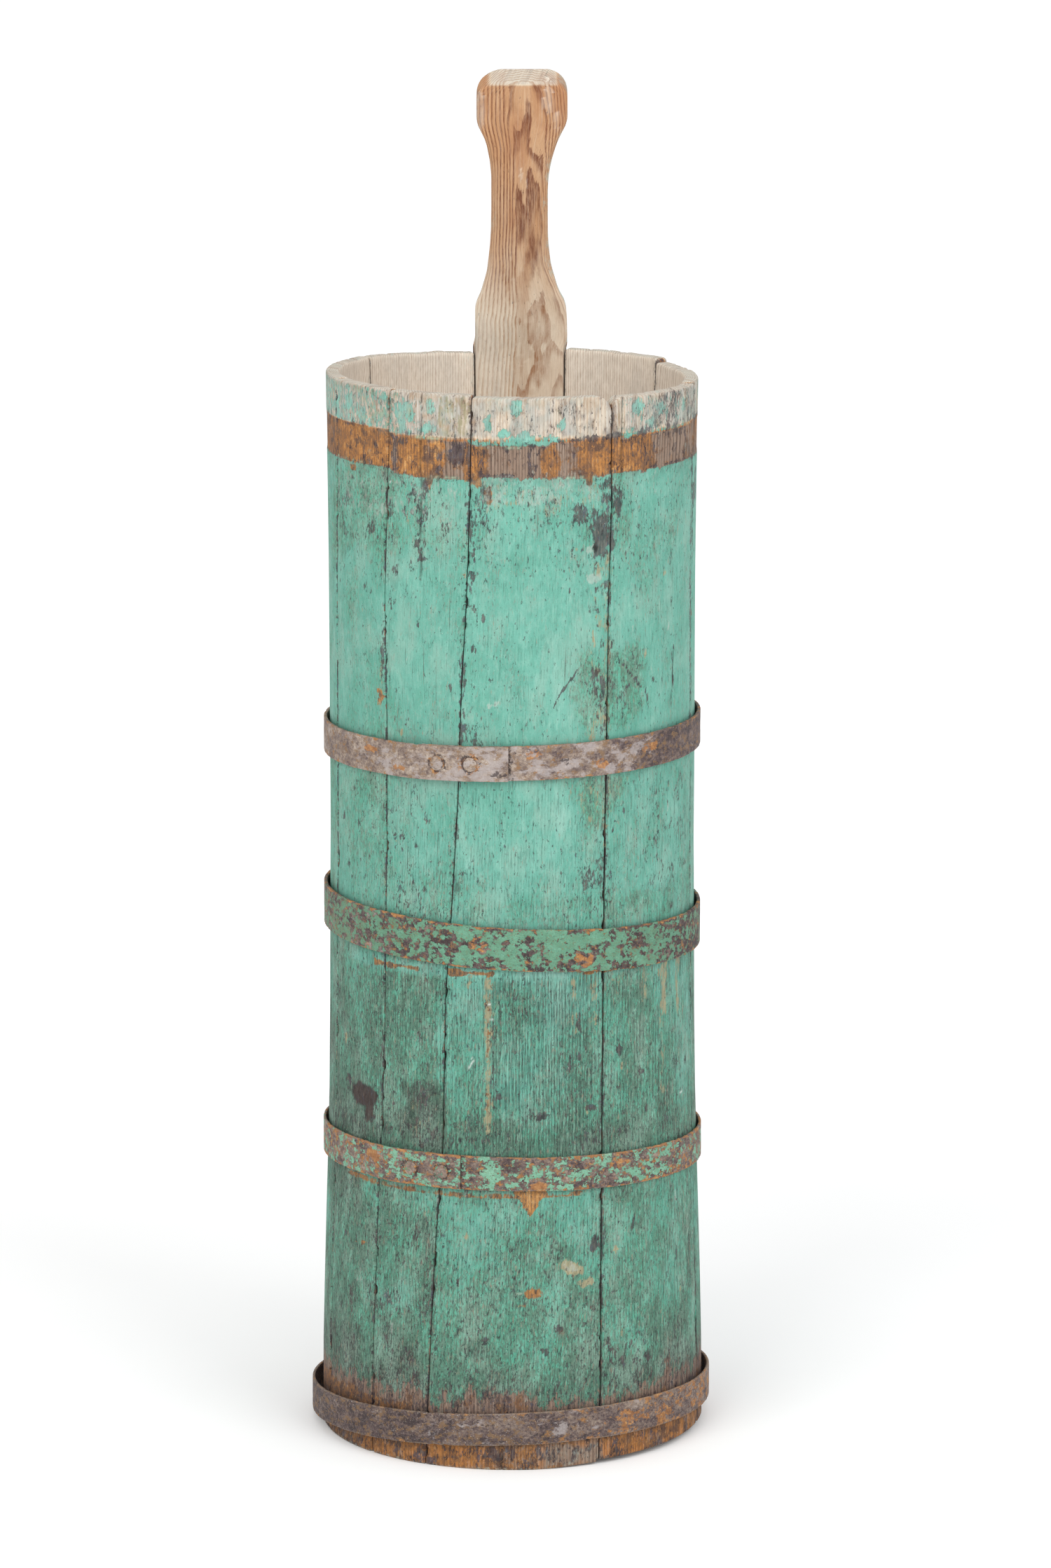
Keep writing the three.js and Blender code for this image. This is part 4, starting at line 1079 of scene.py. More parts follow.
def weather_handle(wear, points, depth, part):
    """The handle above the rim, and the inner face of its stave from a little lower."""
    x, z, value = points[:, 0], points[:, 2], wear.value
    above = np.where(depth > 0.5, ease(600, 660, z), ease(741, 747, z))
    back = ease(0.42, 0.2, depth)
    side = ((part >= OUTER_CORNER) & (part <= INNER_CORNER)).astype(float)
    low_left = ease(805, 740, z) * ease(14, -14, x)
    tone = (0.45 + 0.03 * ease(860, 905, z) - 0.20 * ease(828, 742, z) - 0.10 * low_left
            + 0.12 * (fractal(x / 9, z / 40, 71, 3) - 0.5))
    wear.fade(above, paint=0.0, rust=0.0, tan=0.0, dark=0.03, pale=0.14, fleck=0.22, grain=0.3,
              line=1.0, hue=0.3, tone=tone)
    wear.spot_share *= (1 - above)
    grey = above * side
    wear.add("pale", grey, 0.18 + 0.22 * ease(0.4, 0.6, fractal(z / 16, x / 9, 72, 3)))
    value["line"] = value["line"] * (1 - 0.35 * grey)

    # old paint on the outer face, and what is left of it on the +X edge
    above_back = above * back
    worn = (fractal(x / 10, z / 26, 73, 4) + 0.18 * ease(770, 745, z)
            - 0.16 * ease(790, 820, z) * ease(885, 860, z))
    worn = ease(926, 916, z) * ease(0.36, 0.62, worn)
    value["paint"] = np.maximum(value["paint"] * (1 - above_back), above_back * worn * 0.9)
    wear.fade(above_back, hue=0.35)
    wear.add("fleck", above_back, 0.4)
    right_edge = above * side * ease(12, 22, x) * ease(0.9, 0.7, depth)
    wear.add("paint", right_edge, 0.30)
    value["hue"] = np.where(right_edge > 0.3, 0.05, value["hue"])
    wear.add("pale", right_edge, 0.62)

    bare = above * (1 - back)
    for scar_x, scar_z, half_width, half_height, amount in HANDLE_SCARS:
        distance = np.sqrt(((x - scar_x) / half_width) ** 2 + ((z - scar_z) / half_height) ** 2)
        distance = distance + (fractal(x / 2, z / 6, 74, 3) - 0.5)
        scar = bare * amount * (1 - ease(0.6, 1.2, distance))
        wear.add("dark", scar, 0.4)
        wear.spot = (wear.spot * (1 - scar[:, None])
                     + np.array(srgb(92, 60, 46)[:3]) * scar[:, None])
        wear.spot_share = np.maximum(wear.spot_share, 0.85 * scar)

    # broad red-brown staining down the middle and at the corners of the head, and a pale lower
    # part, bleached above the rim and painted light on the inner face below it; each colours only
    # what has no mark yet
    middle = lookup([(700, 12), (765, 12), (800, 4), (850, 3), (900, 3), (935, 2)], z)
    half = lookup([(700, 14), (765, 14), (800, 9), (860, 9), (900, 12), (935, 12)], z)
    core = bell(x - middle, half) * ease(0.40, 0.62, fractal(x / 9, z / 34, 75, 4))
    corners = (ease(884, 900, z) * ease(12, 22, np.abs(x))
               * ease(0.42, 0.6, fractal(x / 6, z / 16, 76, 3)))
    stain = bare * np.clip(0.50 * core + 0.40 * corners, 0, 0.55)
    stain = stain * (1 - 0.45 * ease(812, 755, z))
    bleach_and_painted_light = (bare * ease(836, 750, z) * (0.27 + 0.16 * ease(12, -12, x))
              * np.clip(1 - 4 * stain, 0, 1))
    unmarked = wear.spot_share < 0.02
    for mask, rgb in ((bleach_and_painted_light > stain, (238, 226, 208)), (stain >= bleach_and_painted_light, (142, 90, 62))):
        wear.spot = np.where((unmarked & mask)[:, None], np.array(srgb(*rgb)[:3]), wear.spot)
    wear.spot_share = np.maximum(wear.spot_share, np.maximum(stain, bleach_and_painted_light))

    # weathered, greyed end grain on top, darkened a little as painted shade under the light from
    # above
    end = ease(931.6, 934.0, z + 8 * depth)
    value["tone"] = value["tone"] * (1 - 0.8 * end) + 0.04 * 0.8 * end
    value["pale"] = np.maximum(value["pale"] * (1 - end), end * 0.16)
    # painted shade: a thin dark film over the top end grain
    wear.add("dark", end, 0.10)
    wear.fade(end, line=0.85)


# ---------------------------------------------------------------- staves
# Rounding of the ends: distance from the end, inset
FOOT_ROUNDING = [(0, 3.4), (0, 1.7), (0, 0.75), (0.25, 0.30), (0.8, 0.08), (1.6, 0)]
TOP_ROUNDING = [(2.6, 0), (1.5, 0.12), (0.7, 0.42), (0.2, 0.95), (0, 1.7), (0, 2.6), (0, 3.6)]
HANDLE_TOP_ROUNDING = [(1.4, 0.1), (0.8, 0.35), (0.35, 0.7), (0.1, 1.2), (0, 2), (0, 3.5), (0, 6)]


def stave_rows(is_handle):
    """Heights of a stave's sections, and how far each is drawn in."""
    step = 2.1
    if is_handle:
        height, rounding = HANDLE_TOP, HANDLE_TOP_ROUNDING
        body = [np.arange(3.0, 728, step), np.arange(728, 922, step * 0.75),
                np.arange(922, 933.2, 0.8)]
    else:
        height, rounding = BARREL_HEIGHT, TOP_ROUNDING
        body = [np.arange(3.0, height - 4.0, step)]
    body = np.concatenate(body)
    z = np.concatenate([[z for z, _ in FOOT_ROUNDING], body, [height - d for d, _ in rounding]])
    inset = np.concatenate([[i for _, i in FOOT_ROUNDING], np.zeros(len(body)),
                            [i for _, i in rounding]])
    return z, inset


def eased_lookup(rows, z, sigma):
    """The table at z with its corners eased."""
    total, whole = 0.0, 0.0
    for offset in np.linspace(-2 * sigma, 2 * sigma, 9):
        weight = math.exp(-0.5 * (offset / sigma) ** 2)
        total = total + weight * lookup(rows, z + offset)
        whole += weight
    return total / whole


def shape_stave_ends(z, across, share, width, stave):
    """Cut the top and foot to the stave's own heights, with rounded corners and a worn edge."""
    seed = stave.seed
    if stave.top:
        top = stave.top(share)
        for distance, radius in ((share * width, stave.rounds[0]),
                                 ((1 - share) * width, stave.rounds[1])):
            if radius:
                near = np.clip(distance, 0, radius)
                drop = np.sqrt(np.maximum(radius ** 2 - (radius - near) ** 2, 0))
                top = top - (radius - drop)
        top = (top + (fractal(across / 14 + seed, 0.0, seed + 8, 3) - 0.5) * 1.0
               - 0.6 * ease(0.6, 0.8, fractal(across / 5 + seed, 2.0, seed + 9, 3)))
        z = np.where(z > 690, 690 + (z - 690) * (top - 690) / 50.0, z)
    return np.where(z < 20, 20 - (20 - z) * (20 - stave.foot(share)) / 20.0, z)


HANDLE_HEARTWOOD = [  # height, ring number on the heartwood's centre line
    (560, -2.6), (640, -1.4), (690, -0.35), (712, 0.0), (716, 0.12), (736, 0.40), (740, 0.55),
    (766, 0.90), (771, 1.06), (792, 1.32), (812, 1.42), (816, 1.58), (850, 1.92), (856, 2.08),
    (876, 2.36), (881, 2.58), (902, 2.92), (906, 3.08), (926, 3.5), (935, 3.6)]


def handle_rings(points, depth, plain_rings):
    """Long arches of grain up the handle; plain rings on the outside lower down."""
    x, y, z = points.T
    centre = lookup([(600, 20), (700, 20), (765, 19), (800, 13), (850, 12), (900, 11), (935, 10)], z)
    off = x - (centre + 4 * (fractal(z / 40, 0.5, 63, 2) - 0.5))
    flat_width = lookup([(600, 15), (760, 14.5), (800, 7.5), (850, 8), (880, 9), (900, 10.5),
                         (935, 11)], z)
    neck = ease(770, 800, z) * ease(900, 875, z)
    steepness = np.where(off < 0, 2.9 - 0.5 * neck, 2.2 - 0.5 * neck)
    past = np.maximum(np.abs(off) - flat_width, 0)
    ragged = (1.9 * (fractal(x / 8, z / 42, 64, 3) - 0.5)
              + 0.55 * (fractal(x / 2.4, z / 18, 65, 3) - 0.5) + 0.018 * off)
    behind = (HANDLE_BACK - y - 20.5) / 3.4
    arches = (lookup(HANDLE_HEARTWOOD, z) + (np.sqrt(past ** 2 + 2.0) - 1.414) / steepness
              + 0.012 * np.abs(off) + ragged * np.clip(1.15 - past / 9, 0.22, 1) - behind)
    arched = np.where(depth > 0.5, ease(560, 640, z), ease(735, 760, z))
    return np.where(arched > 0.5, arches, plain_rings)


def stave_rings(points, depth, middle, stave):
    """Growth ring numbers, from distances to the tree's heart. middle: the stave's angle, radians."""
    seed, spacing, (heart_along, heart_out) = stave.seed, stave.spacing, stave.heart
    x, y, z = points.T
    along = x * math.cos(middle) + y * math.sin(middle)
    out = x * math.sin(middle) - y * math.cos(middle) - REFERENCE_RADIUS
    if stave.is_handle:
        plain = np.sqrt((along - heart_along) ** 2 + (out - heart_out) ** 2) / spacing
        return handle_rings(points, depth, plain)
    lean = heart_along + 9 * (fractal(z / 300, seed * 1.3, seed + 13, 2) - 0.5)
    bow = 12 * (fractal(z / 240, seed * 0.7, seed + 14, 2) - 0.5)
    distance = np.sqrt((along - lean) ** 2 + (out - heart_out - bow) ** 2)
    ring = (distance / spacing + 0.35 * (fractal(along / 9, z / 45, seed + 15, 3) - 0.5)
            + 0.14 * (fractal(along / 2.0, z / 14, seed + 16, 2) - 0.5))
    return (ring + 2.6 * fractal(distance / 13, seed * 1.1, seed + 17, 3)
            + 0.8 * fractal(distance / 4, seed * 1.9, seed + 18, 2))


def build_stave(name, stave):
    seed, is_handle = stave.seed, stave.is_handle
    rows, inset = stave_rows(is_handle)
    table_z = np.minimum(rows, BARREL_HEIGHT)
    radius, thickness = lookup(OUTER_RADIUS, table_z), lookup(THICKNESS, table_z)
    left, right = lookup(JOINTS[stave.left], table_z), lookup(JOINTS[stave.right], table_z)
    floor_groove = 4.0 * ease(22, 24.5, rows) * ease(36, 33.5, rows)  # holds the barrel's floor

    # section of each row: width, depth and corner rounding, chipped here and there
    width, depth = np.radians(right - left) * radius, thickness
    inner_count = max(8, int(float(np.mean(width)) / (2.6)))
    left_round, right_round = (
        0.7 + 0.7 * fractal(rows / 30, smooth_row, seed + offset)
        + 3.2 * ease(0.66, 0.82, fractal(rows / 9, chip_row, seed + offset - 2, 3))
        for smooth_row, chip_row, offset in ((1.0, 0.0, 3), (9.0, 7.0, 4)))
    inner_round = np.full(len(rows), 0.8)
    if is_handle:
        minus_x = eased_lookup([(z, low) for z, low, _ in HANDLE_OUTLINE], rows, 1.2)
        plus_x = eased_lookup([(z, high) for z, _, high in HANDLE_OUTLINE], rows, 1.2)
        to_outline = ease(740, 750, rows)  # from the barrel's sides to the handle's outline
        to_flat = ease(728, 768, rows)  # from the barrel's curve to the handle's flat faces
        neck = ease(775, 805, rows) * ease(892, 866, rows)
        width = width * (1 - to_outline) + (plus_x - minus_x) * to_outline
        depth = depth * (1 - to_flat) + (HANDLE_BACK - HANDLE_FRONT) * to_flat
        left_round = left_round * (1 - to_outline) + to_outline * (2.6 + 3.6 * neck)
        right_round = right_round * (1 - to_outline) + to_outline * (4.2 + 2.6 * neck)
        inner_round = inner_round * (1 - to_outline) + to_outline * (2.4 + 3.4 * neck)
    across, down, part = rounded_section(
        width, depth, inset, (left_round, right_round, inner_round),
        (2 * (inner_count - 1) + 1, inner_count), (0.4, 0.8, 1.2, math.pi / 2),
        (0.2, 0.4, 0.6, 0.8, 1.0))
    shape = across.shape
    share, depth_share = across / width[:, None], down / depth[:, None]

    # bend the sections round the barrel
    out = (radius[:, None] - down * (thickness / depth)[:, None]
           + floor_groove[:, None] * ease(0.55, 0.95, depth_share))
    low = left[:, None] + np.degrees((GAPS[stave.left] / 2 + 0.02) / out)
    high = right[:, None] - np.degrees((GAPS[stave.right] / 2 + 0.02) / out)
    angle = low + (high - low) * share
    z = np.repeat(rows[:, None], shape[1], 1)
    z = shape_stave_ends(z, across, share, width[:, None], stave)
    seam = np.minimum(across, width[:, None] - across)
    wear = Weathering(((angle + 180) % 360 - 180).ravel(), z.ravel(), seed, seam.ravel())
    weather_outside(wear)

    # hewn flats, raised grain and cracks outside; nothing stands much proud of the drawn radius
    local = (angle - (left + right)[:, None] / 2) * ARC
    hewn = (0.46 * fractal(local / 34 + seed, z / 120, seed + 10, 2)
            + 0.14 * fractal(local / 6 + seed, z / 70, seed + 11, 2))
    face = np.where((part <= OUTER_CORNER)[None, :], 1.0, 0.0)
    if is_handle:
        face = face * (1 - ease(735, 745, rows))[:, None]
    push = (hewn + wear.push.reshape(shape)) * face
    inner_wave = 0.35 * fractal(local / 12, z / 60, seed + 12, 3)
    push = push + inner_wave * np.where((part == INNER)[None, :], -1.0, 0.0) * 0.6
    out = out - push
    x, y = out * np.sin(np.radians(angle)), -out * np.cos(np.radians(angle))
    if is_handle:
        flat_x = plus_x[:, None] + (minus_x - plus_x)[:, None] * share
        flat_y = HANDLE_BACK + (HANDLE_FRONT - HANDLE_BACK) * depth_share
        wave = (0.5 * (fractal(flat_x / 22, z / 34, 61, 3) - 0.5)
                + 0.22 * (fractal(flat_x / 2.4, z / 40, 62, 3) - 0.5))
        flat_y = flat_y + wave * (1 - 2 * (depth_share < 0.5))
        x = x * (1 - to_outline)[:, None] + flat_x * to_outline[:, None]
        y = y * (1 - to_flat)[:, None] + flat_y * to_flat[:, None]
        z = z - 8.0 * depth_share * ease(905, 935, rows)[:, None]  # the top slopes to the front
    points = np.stack([x, y, z], -1).reshape(-1, 3)
    ob = new_mesh(name, points, ring_quads(*shape), end_caps(shape[0], part))

    mesh, local, depth_share = ob.data, local.ravel(), depth_share.ravel()
    middle = math.radians(float(np.mean(left + right)) / 2)
    rings = stave_rings(points, depth_share, middle, stave)
    set_attribute(mesh, "ring", rings + seed * 10)
    set_attribute(mesh, "scoord",
                  (local + (out - REFERENCE_RADIUS).ravel()) / 1000.0 + seed * 0.37,
                  points[:, 2] / 1000.0, seed * 3.17)
    part = np.broadcast_to(part, shape).ravel()
    inset = np.repeat(inset, shape[1])
    weather_inside_and_ends(wear, points, depth_share, local, part, inset, is_handle)
    if is_handle:
        weather_handle(wear, points, depth_share, part)
    wear.value["hue"] = wear.value["hue"] + stave.hue_shift
    masks = {key: np.clip(value, 0, 1) for key, value in wear.value.items()}
    set_attribute(mesh, "m1", *(masks[key] for key in ("paint", "rust", "dark", "pale")))
    set_attribute(mesh, "m2", *(masks[key] for key in ("tan", "hue", "tone", "grain")))
    set_attribute(mesh, "m3", *wear.spot.T, np.clip(wear.spot_share, 0, 1))
    set_attribute(mesh, "m4", *(masks[key] for key in ("rtone", "fleck", "line")), 0.0)
    mesh.materials.append(PINE if is_handle else PAINTED)
    return ob


def slope(left, right):
    return lambda share: left + (right - left) * share


LEVEL = slope(0, 0)
STAVES = [
    # node, left joint, right joint, top, foot, seed, tree's heart (along, outward),
    # top corner rounding, ring spacing, hue shift
    ("stave_front_left", "j2", "j3", slope(741.5, 741.5), LEVEL, 11, (46, -34), (0, 0), 1.75, 0.02),
    ("stave_front", "j3", "j4", slope(740, 739), lambda share: 1.6 * ease(0.62, 1.0, share), 12,
     (-58, -40), (0, 12), 1.85, -0.02),
    ("stave_front_right", "j4", "j5", slope(738, 736), slope(3, 3.5), 13, (26, -40), (8, 0), 1.8, 0),
    ("stave_right", "j5", "j6", slope(737, 738), slope(3.5, 0.5), 14, (-20, -60), (0, 0), 1.7, 0.02),
    ("stave_back_right", "j6", "j7", slope(740.7, 740.7), LEVEL, 15, (60, -30), (0, 0), 1.8, 0.03),
    ("stave_back_left", "j8", "j9", slope(738, 741.8), LEVEL, 16, (-70, -20), (0, 0), 1.9, 0),
    ("stave_left", "j9", "j1b", slope(742, 742), LEVEL, 17, (15, -46), (0, 0), 1.6, 0.05),
    ("stave_left_front", "j1", "j2", slope(742, 742), LEVEL, 18, (52, -26), (0, 0), 1.4, 0.05),
    ("handle_stave", "j7", "j8", None, LEVEL, 19, (30, -40), (0, 0), 1.8, 0),
]
STAVE_FIELDS = ("left", "right", "top", "foot", "seed", "heart", "rounds", "spacing", "hue_shift")
for node, *fields in STAVES:
    is_handle = node == "handle_stave"
    stave = Group(**dict(zip(STAVE_FIELDS, fields)), is_handle=is_handle)
    install(build_stave(node + "_wood", stave), "barrel", node,
            "bare_wood" if is_handle else "painted_wood")


# ---------------------------------------------------------------- hoops
def build_hoop(name, hoop, seed, material, looks):
    """An iron strap whose end laps over its start."""
    step = 0.7
    count = int((360 + hoop.end - hoop.start) / step)
    angle = np.linspace(hoop.start, hoop.end + 360, count)
    first, last = angle[0], angle[-1]
    angle = np.concatenate([[first, first, first + 0.15], angle[1:-1], [last - 0.15, last, last]])
    inset = np.concatenate([[0.7, 0.25, 0.0], np.zeros(count - 2), [0.0, 0.25, 0.7]])
    outer_count = 21
    up, down, part = rounded_section(hoop.width, hoop.thick, inset, (0.55,) * 3,
                                     (outer_count, (outer_count + 1) // 2), (0.5, 1.05),
                                     (0.25, 0.75))
    shape = up.shape
    per_degree = hoop.inner * math.pi / 180
    along = angle[:, None] * per_degree + np.zeros((1, shape[1]))

    # hammered face, nibbled edges, a strip that isn't quite straight
    drift = 0.35 * (fractal(along / 60, 0.0, seed, 3) - 0.5) * 2

    def nibbles(nick_seed, nick_row, wave_row):
        return (0.5 * ease(0.62, 0.8, fractal(along / 4, nick_row, nick_seed, 3))
                + 0.25 * fractal(along / 12, wave_row, nick_seed + 1, 3))

    share = up / hoop.width
    rise = (up - hoop.width / 2 - nibbles(seed + 1, 0.0, 3.0) * ease(0.8, 1.0, share)
            + nibbles(seed + 3, 9.0, 5.0) * ease(0.2, 0.0, share) + drift * 0.5)
    hammer = 0.30 * (fractal(along / 15, up / 11, seed + 5, 3) - 0.5) * 2
    pits = 0.28 * ease(0.6, 0.85, fractal(along / 2.6, up / 2.4, seed + 6, 3))
    face = (part <= OUTER_CORNER).astype(float)[None, :]
    lift = (hoop.thick + 0.2) * ease(hoop.start + 344, hoop.start + 358, angle)
    radius = hoop.inner + lift[:, None] + hoop.thick - down + face * (hammer * 0.6 - pits)
    x = radius * np.sin(np.radians(angle))[:, None]
    y = -radius * np.cos(np.radians(angle))[:, None]
    z = hoop.z + hoop.tilt_x * x + hoop.tilt_y * y + rise
    points = np.stack([x + hoop.x, y + hoop.y, z], -1).reshape(-1, 3)
    ob = new_mesh(name, points, ring_quads(*shape)[:, ::-1],
                  [cap[::-1] for cap in end_caps(shape[0], part)])

    mesh = ob.data
    turn = np.repeat((angle + 180) % 360 - 180, shape[1])
    along, rise = along.ravel(), rise.ravel()
    set_attribute(mesh, "scoord", along / 1000 + seed * 0.41, rise / 1000 + down.ravel() / 1000,
                  seed * 2.3)
    blotch = fractal(along / 16, rise / 9, seed + 7, 4)
    fine = fractal(along / 5, rise / 4, seed + 8, 3)
    level = {key: lookup(looks[key], turn)
             for key in ("paint", "orange", "dark", "pale", "tone", "hue", "speck")}
    edge = np.clip(1 - np.minimum(up, hoop.width - up).ravel() / 2.2, 0, 1)
    first_half = np.repeat(np.arange(shape[0]) < shape[0] * 0.5, shape[1])
    # painted shade on the under layer beside the end that laps over the strap
    lap_shade = bell(along - hoop.end * per_degree, 3.0) * first_half
    back = np.broadcast_to((part >= INNER_CORNER).astype(float), shape).ravel()
    masks = {
        "paint": (level["paint"] * (0.45 + 1.1 * blotch) * (1 - back)
                  - 0.5 * edge * ease(0.35, 0.6, fine)),
        "orange": (level["orange"] * (0.4 + 1.2 * fractal(along / 12, rise / 8, seed + 9, 4))
                   + looks["edge_rust"] * edge * ease(0.4, 0.62, fine)),
        "dark": level["dark"] * (0.5 + fine) + 0.75 * lap_shade * 0.6 + 0.3 * back,
        "pale": level["pale"] * (0.4 + 1.2 * blotch),
    }
    # stains round the rivets, on both layers of the lap, and a dark ring of painted shade round each
    # rivet head
    for rivet in hoop.rivets:
        distance = np.minimum(*(np.hypot(along - a * per_degree, rise)
                                for a in (rivet, rivet + 360))) + 3 * (fine - 0.5)
        masks["orange"] = np.maximum(masks["orange"], bell(distance, 7.5) * 0.7)
        masks["dark"] = np.maximum(masks["dark"], bell(distance - 5.6, 1.0) * 0.7)
    for spot_angle, spot_rise, half_width, half_height, key, amount in looks["spots"]:
        distance = np.sqrt(((turn - spot_angle) * per_degree / half_width) ** 2
                           + ((rise - spot_rise) / half_height) ** 2) + (fine - 0.5) * 0.9
        spot = (1 - ease(0.7, 1.15, distance)) * amount
        masks[key] = np.maximum(masks[key], spot)
        if key == "orange":
            masks["paint"] = masks["paint"] * (1 - spot)
    set_attribute(mesh, "m1", *(np.clip(mask, 0, 1) for mask in masks.values()))
    set_attribute(mesh, "m2", *(np.clip(mask, 0, 1) for mask in (
        level["tone"] + (blotch - 0.5) * 0.3 - 0.1 * back, level["hue"],
        level["speck"] + 0.5 * edge, edge * looks["edge"])))
    mesh.materials.append(material)
    return ob


RIVET_RADIUS, SHANK_RADIUS = 5.0, 2.4
RIVET_HEAD = [  # share of the rivet's radius, height above its seat
    (0.9, -0.02), (0.98, 0.12), (1, 0.38), (0.97, 0.68), (0.88, 0.98), (0.74, 1.24), (0.55, 1.42),
    (0.34, 1.53), (0.16, 1.58)]


def build_rivet(name, hoop, angle, seed, material, tone):
    """A hand-set rivet: shank, flattened head with a soft rim, a little out of round."""
    seat = hoop.inner + 2 * hoop.thick + 0.4
    profile = [(SHANK_RADIUS * 0.7, hoop.inner + 0.1), (SHANK_RADIUS, hoop.inner + 0.4),
               (SHANK_RADIUS, seat - 0.02)]
    profile += [(RIVET_RADIUS * share, seat + height) for share, height in RIVET_HEAD]
    segments = 36
    turn = np.arange(segments) * 2 * math.pi / segments
    c, s = np.cos(turn), np.sin(turn)
    rings = []
    for radius, out in profile:
        lump = 1 - 0.06 * fractal(c * 1.5 + seed, s * 1.5, seed, 3) * (radius > SHANK_RADIUS)
        dent = fractal(c * radius / 2.2 + seed, s * radius / 2.2, seed + 1, 3)
        dent = -0.22 * dent * (out > seat + 0.9)
        rings.append(np.stack([radius * lump * c, radius * lump * s, out + dent], -1))
    poles = np.array([[0, 0, hoop.inner + 0.1], [0, 0, seat + 1.5]])
    across, up, out = np.concatenate(rings + [poles]).T
    c, s = math.cos(math.radians(angle)), math.sin(math.radians(angle))
    points = np.stack([
        out * s + across * c + hoop.x,
        -out * c + across * s + hoop.y,
        hoop.z + (hoop.tilt_x * s - hoop.tilt_y * c) * hoop.inner + up], -1)
    inner_pole = len(rings) * segments
    last = inner_pole - segments
    polys = [[inner_pole, (i + 1) % segments, i] for i in range(segments)]
    polys += [[inner_pole + 1, last + i, last + (i + 1) % segments] for i in range(segments)]
    ob = new_mesh(name, points, ring_quads(len(rings), segments), polys)
    set_attribute(ob.data, "scoord", across / 1000 + seed, up / 1000, seed * 1.7)
    # the rim of the head gets rust and painted shade where it meets the strap
    rim = bell(np.hypot(across, up) - RIVET_RADIUS, 0.8)
    paint, orange, dark, pale, brightness = tone
    set_attribute(ob.data, "m1", paint, orange + 0.2 * rim, dark + 0.3 * rim, pale)
    set_attribute(ob.data, "m2", brightness, 0.5, 0.3, 0.3 * (1 - rim))
    ob.data.materials.append(material)
    return ob


def flat(value):
    return [(-180, value), (180, value)]


# Tables: angle, value. Spots: angle, height, half width, half height, mask, amount.
HOOP_LOOKS = {
    "upper_hoop": dict(
        paint=flat(0.0),
        orange=[(-180, .2), (-70, .16), (-30, .12), (20, .14), (60, .1), (90, .2), (180, .2)],
        dark=[(-180, .12), (-60, .07), (30, .08), (60, .16), (180, .12)],
        pale=[(-180, .3), (-70, .22), (-20, .42), (10, .5), (30, .40), (50, .16), (90, .12),
              (180, .3)],
        tone=[(-180, .4), (-70, .50), (-20, .56), (10, .56), (30, .40), (50, .20), (90, .16),
              (180, .4)],
        hue=flat(0.3), speck=flat(0.3), edge_rust=0.35, edge=0.4,
        spots=[(-48, 4, 7, 3, "orange", .8), (-35, -5, 5, 3, "orange", .6),
               (6, 6, 8, 3, "orange", .6), (28, -4, 5, 4, "orange", .7),
               (46, 2, 8, 4, "orange", .55), (16, 0, 4, 3, "dark", .5),
               (-4, -7, 6, 2.5, "dark", .5)]),
    "second_hoop": dict(
        paint=[(-180, .45), (-70, .54), (-40, .52), (0, .62), (40, .56), (80, .46), (180, .45)],
        orange=flat(0.2),
        dark=[(-180, .24), (-60, .24), (-30, .22), (60, .34), (180, .24)],
        pale=[(-180, .12), (-60, .26), (-20, .08), (0, .05), (180, .12)],
        tone=[(-180, .2), (-70, .28), (-20, .18), (60, .14), (180, .2)],
        hue=[(-180, .6), (-70, .85), (-20, .6), (30, .6), (80, .8), (180, .6)],
        speck=flat(0.2), edge_rust=0.6, edge=0.4,
        spots=[(-58, 2, 7, 6, "paint", .35), (-66, -4, 5, 6, "dark", .5),
               (-10, 2, 8, 6, "orange", .5), (22, -6, 9, 5, "orange", .6),
               (47, 4, 8, 6, "dark", .4)]),
    "third_hoop": dict(
        paint=[(-180, .38), (-70, .36), (-30, .42), (0, .46), (40, .46), (80, .35), (180, .38)],
        orange=[(-180, .32), (-60, .40), (0, .28), (50, .38), (180, .32)],
        dark=flat(0.14),
        pale=[(-180, .12), (-60, .18), (0, .06), (180, .12)],
        tone=[(-180, .32), (-70, .42), (-20, .32), (60, .34), (180, .32)],
        hue=[(-180, .3), (-20, .22), (60, .3), (180, .3)],
        speck=flat(0.3), edge_rust=0.6, edge=0.4,
        spots=[(-45, 3, 10, 5, "orange", .7), (8, -8, 9, 3, "orange", .8),
               (34, 5, 7, 4, "orange", .6)]),
    "bottom_hoop": dict(
        paint=flat(0.0),
        orange=[(-180, .2), (-60, .08), (0, .1), (25, .3), (60, .42), (90, .35), (180, .2)],
        dark=[(-180, .2), (-60, .26), (0, .2), (60, .12), (180, .2)],
        pale=[(-180, .2), (-60, .12), (0, .26), (50, .14), (180, .2)],
        tone=[(-180, .2), (-70, .13), (-10, .26), (30, .34), (70, .33), (180, .2)],
        hue=flat(0.3), speck=flat(0.6), edge_rust=0.35, edge=0.55,
        spots=[(14, 0, 8, 6, "pale", .5), (35, 0, 10, 6, "orange", .6),
               (-30, 4, 8, 3, "dark", .6)]),
}
RIVET_TONES = {  # paint, orange, dark, pale, tone
    "upper_hoop": (0, .15, .12, .35, .6), "second_hoop": (.45, .2, .2, .1, .35),
    "third_hoop": (.35, .3, .15, .2, .5), "bottom_hoop": (0, .2, .2, .15, .35)}
for i, (name, hoop) in enumerate(HOOPS.items()):
    painted = name in ("second_hoop", "third_hoop")
    material, slot = (PAINTED_IRON, "painted_iron") if painted else (IRON, "rusted_iron")
    strap = build_hoop(name + "_strap", hoop, 40 + 3 * i, material, HOOP_LOOKS[name])
    install(strap, name + "_set", name, slot)
    for j, (rivet, angle) in enumerate(zip(("rivet_a", "rivet_b"), hoop.rivets)):
        node = name + "_" + rivet
        ob = build_rivet(node + "_domed", hoop, angle, 60 + 2 * i + j, material, RIVET_TONES[name])
        install(ob, name + "_set", node, slot)


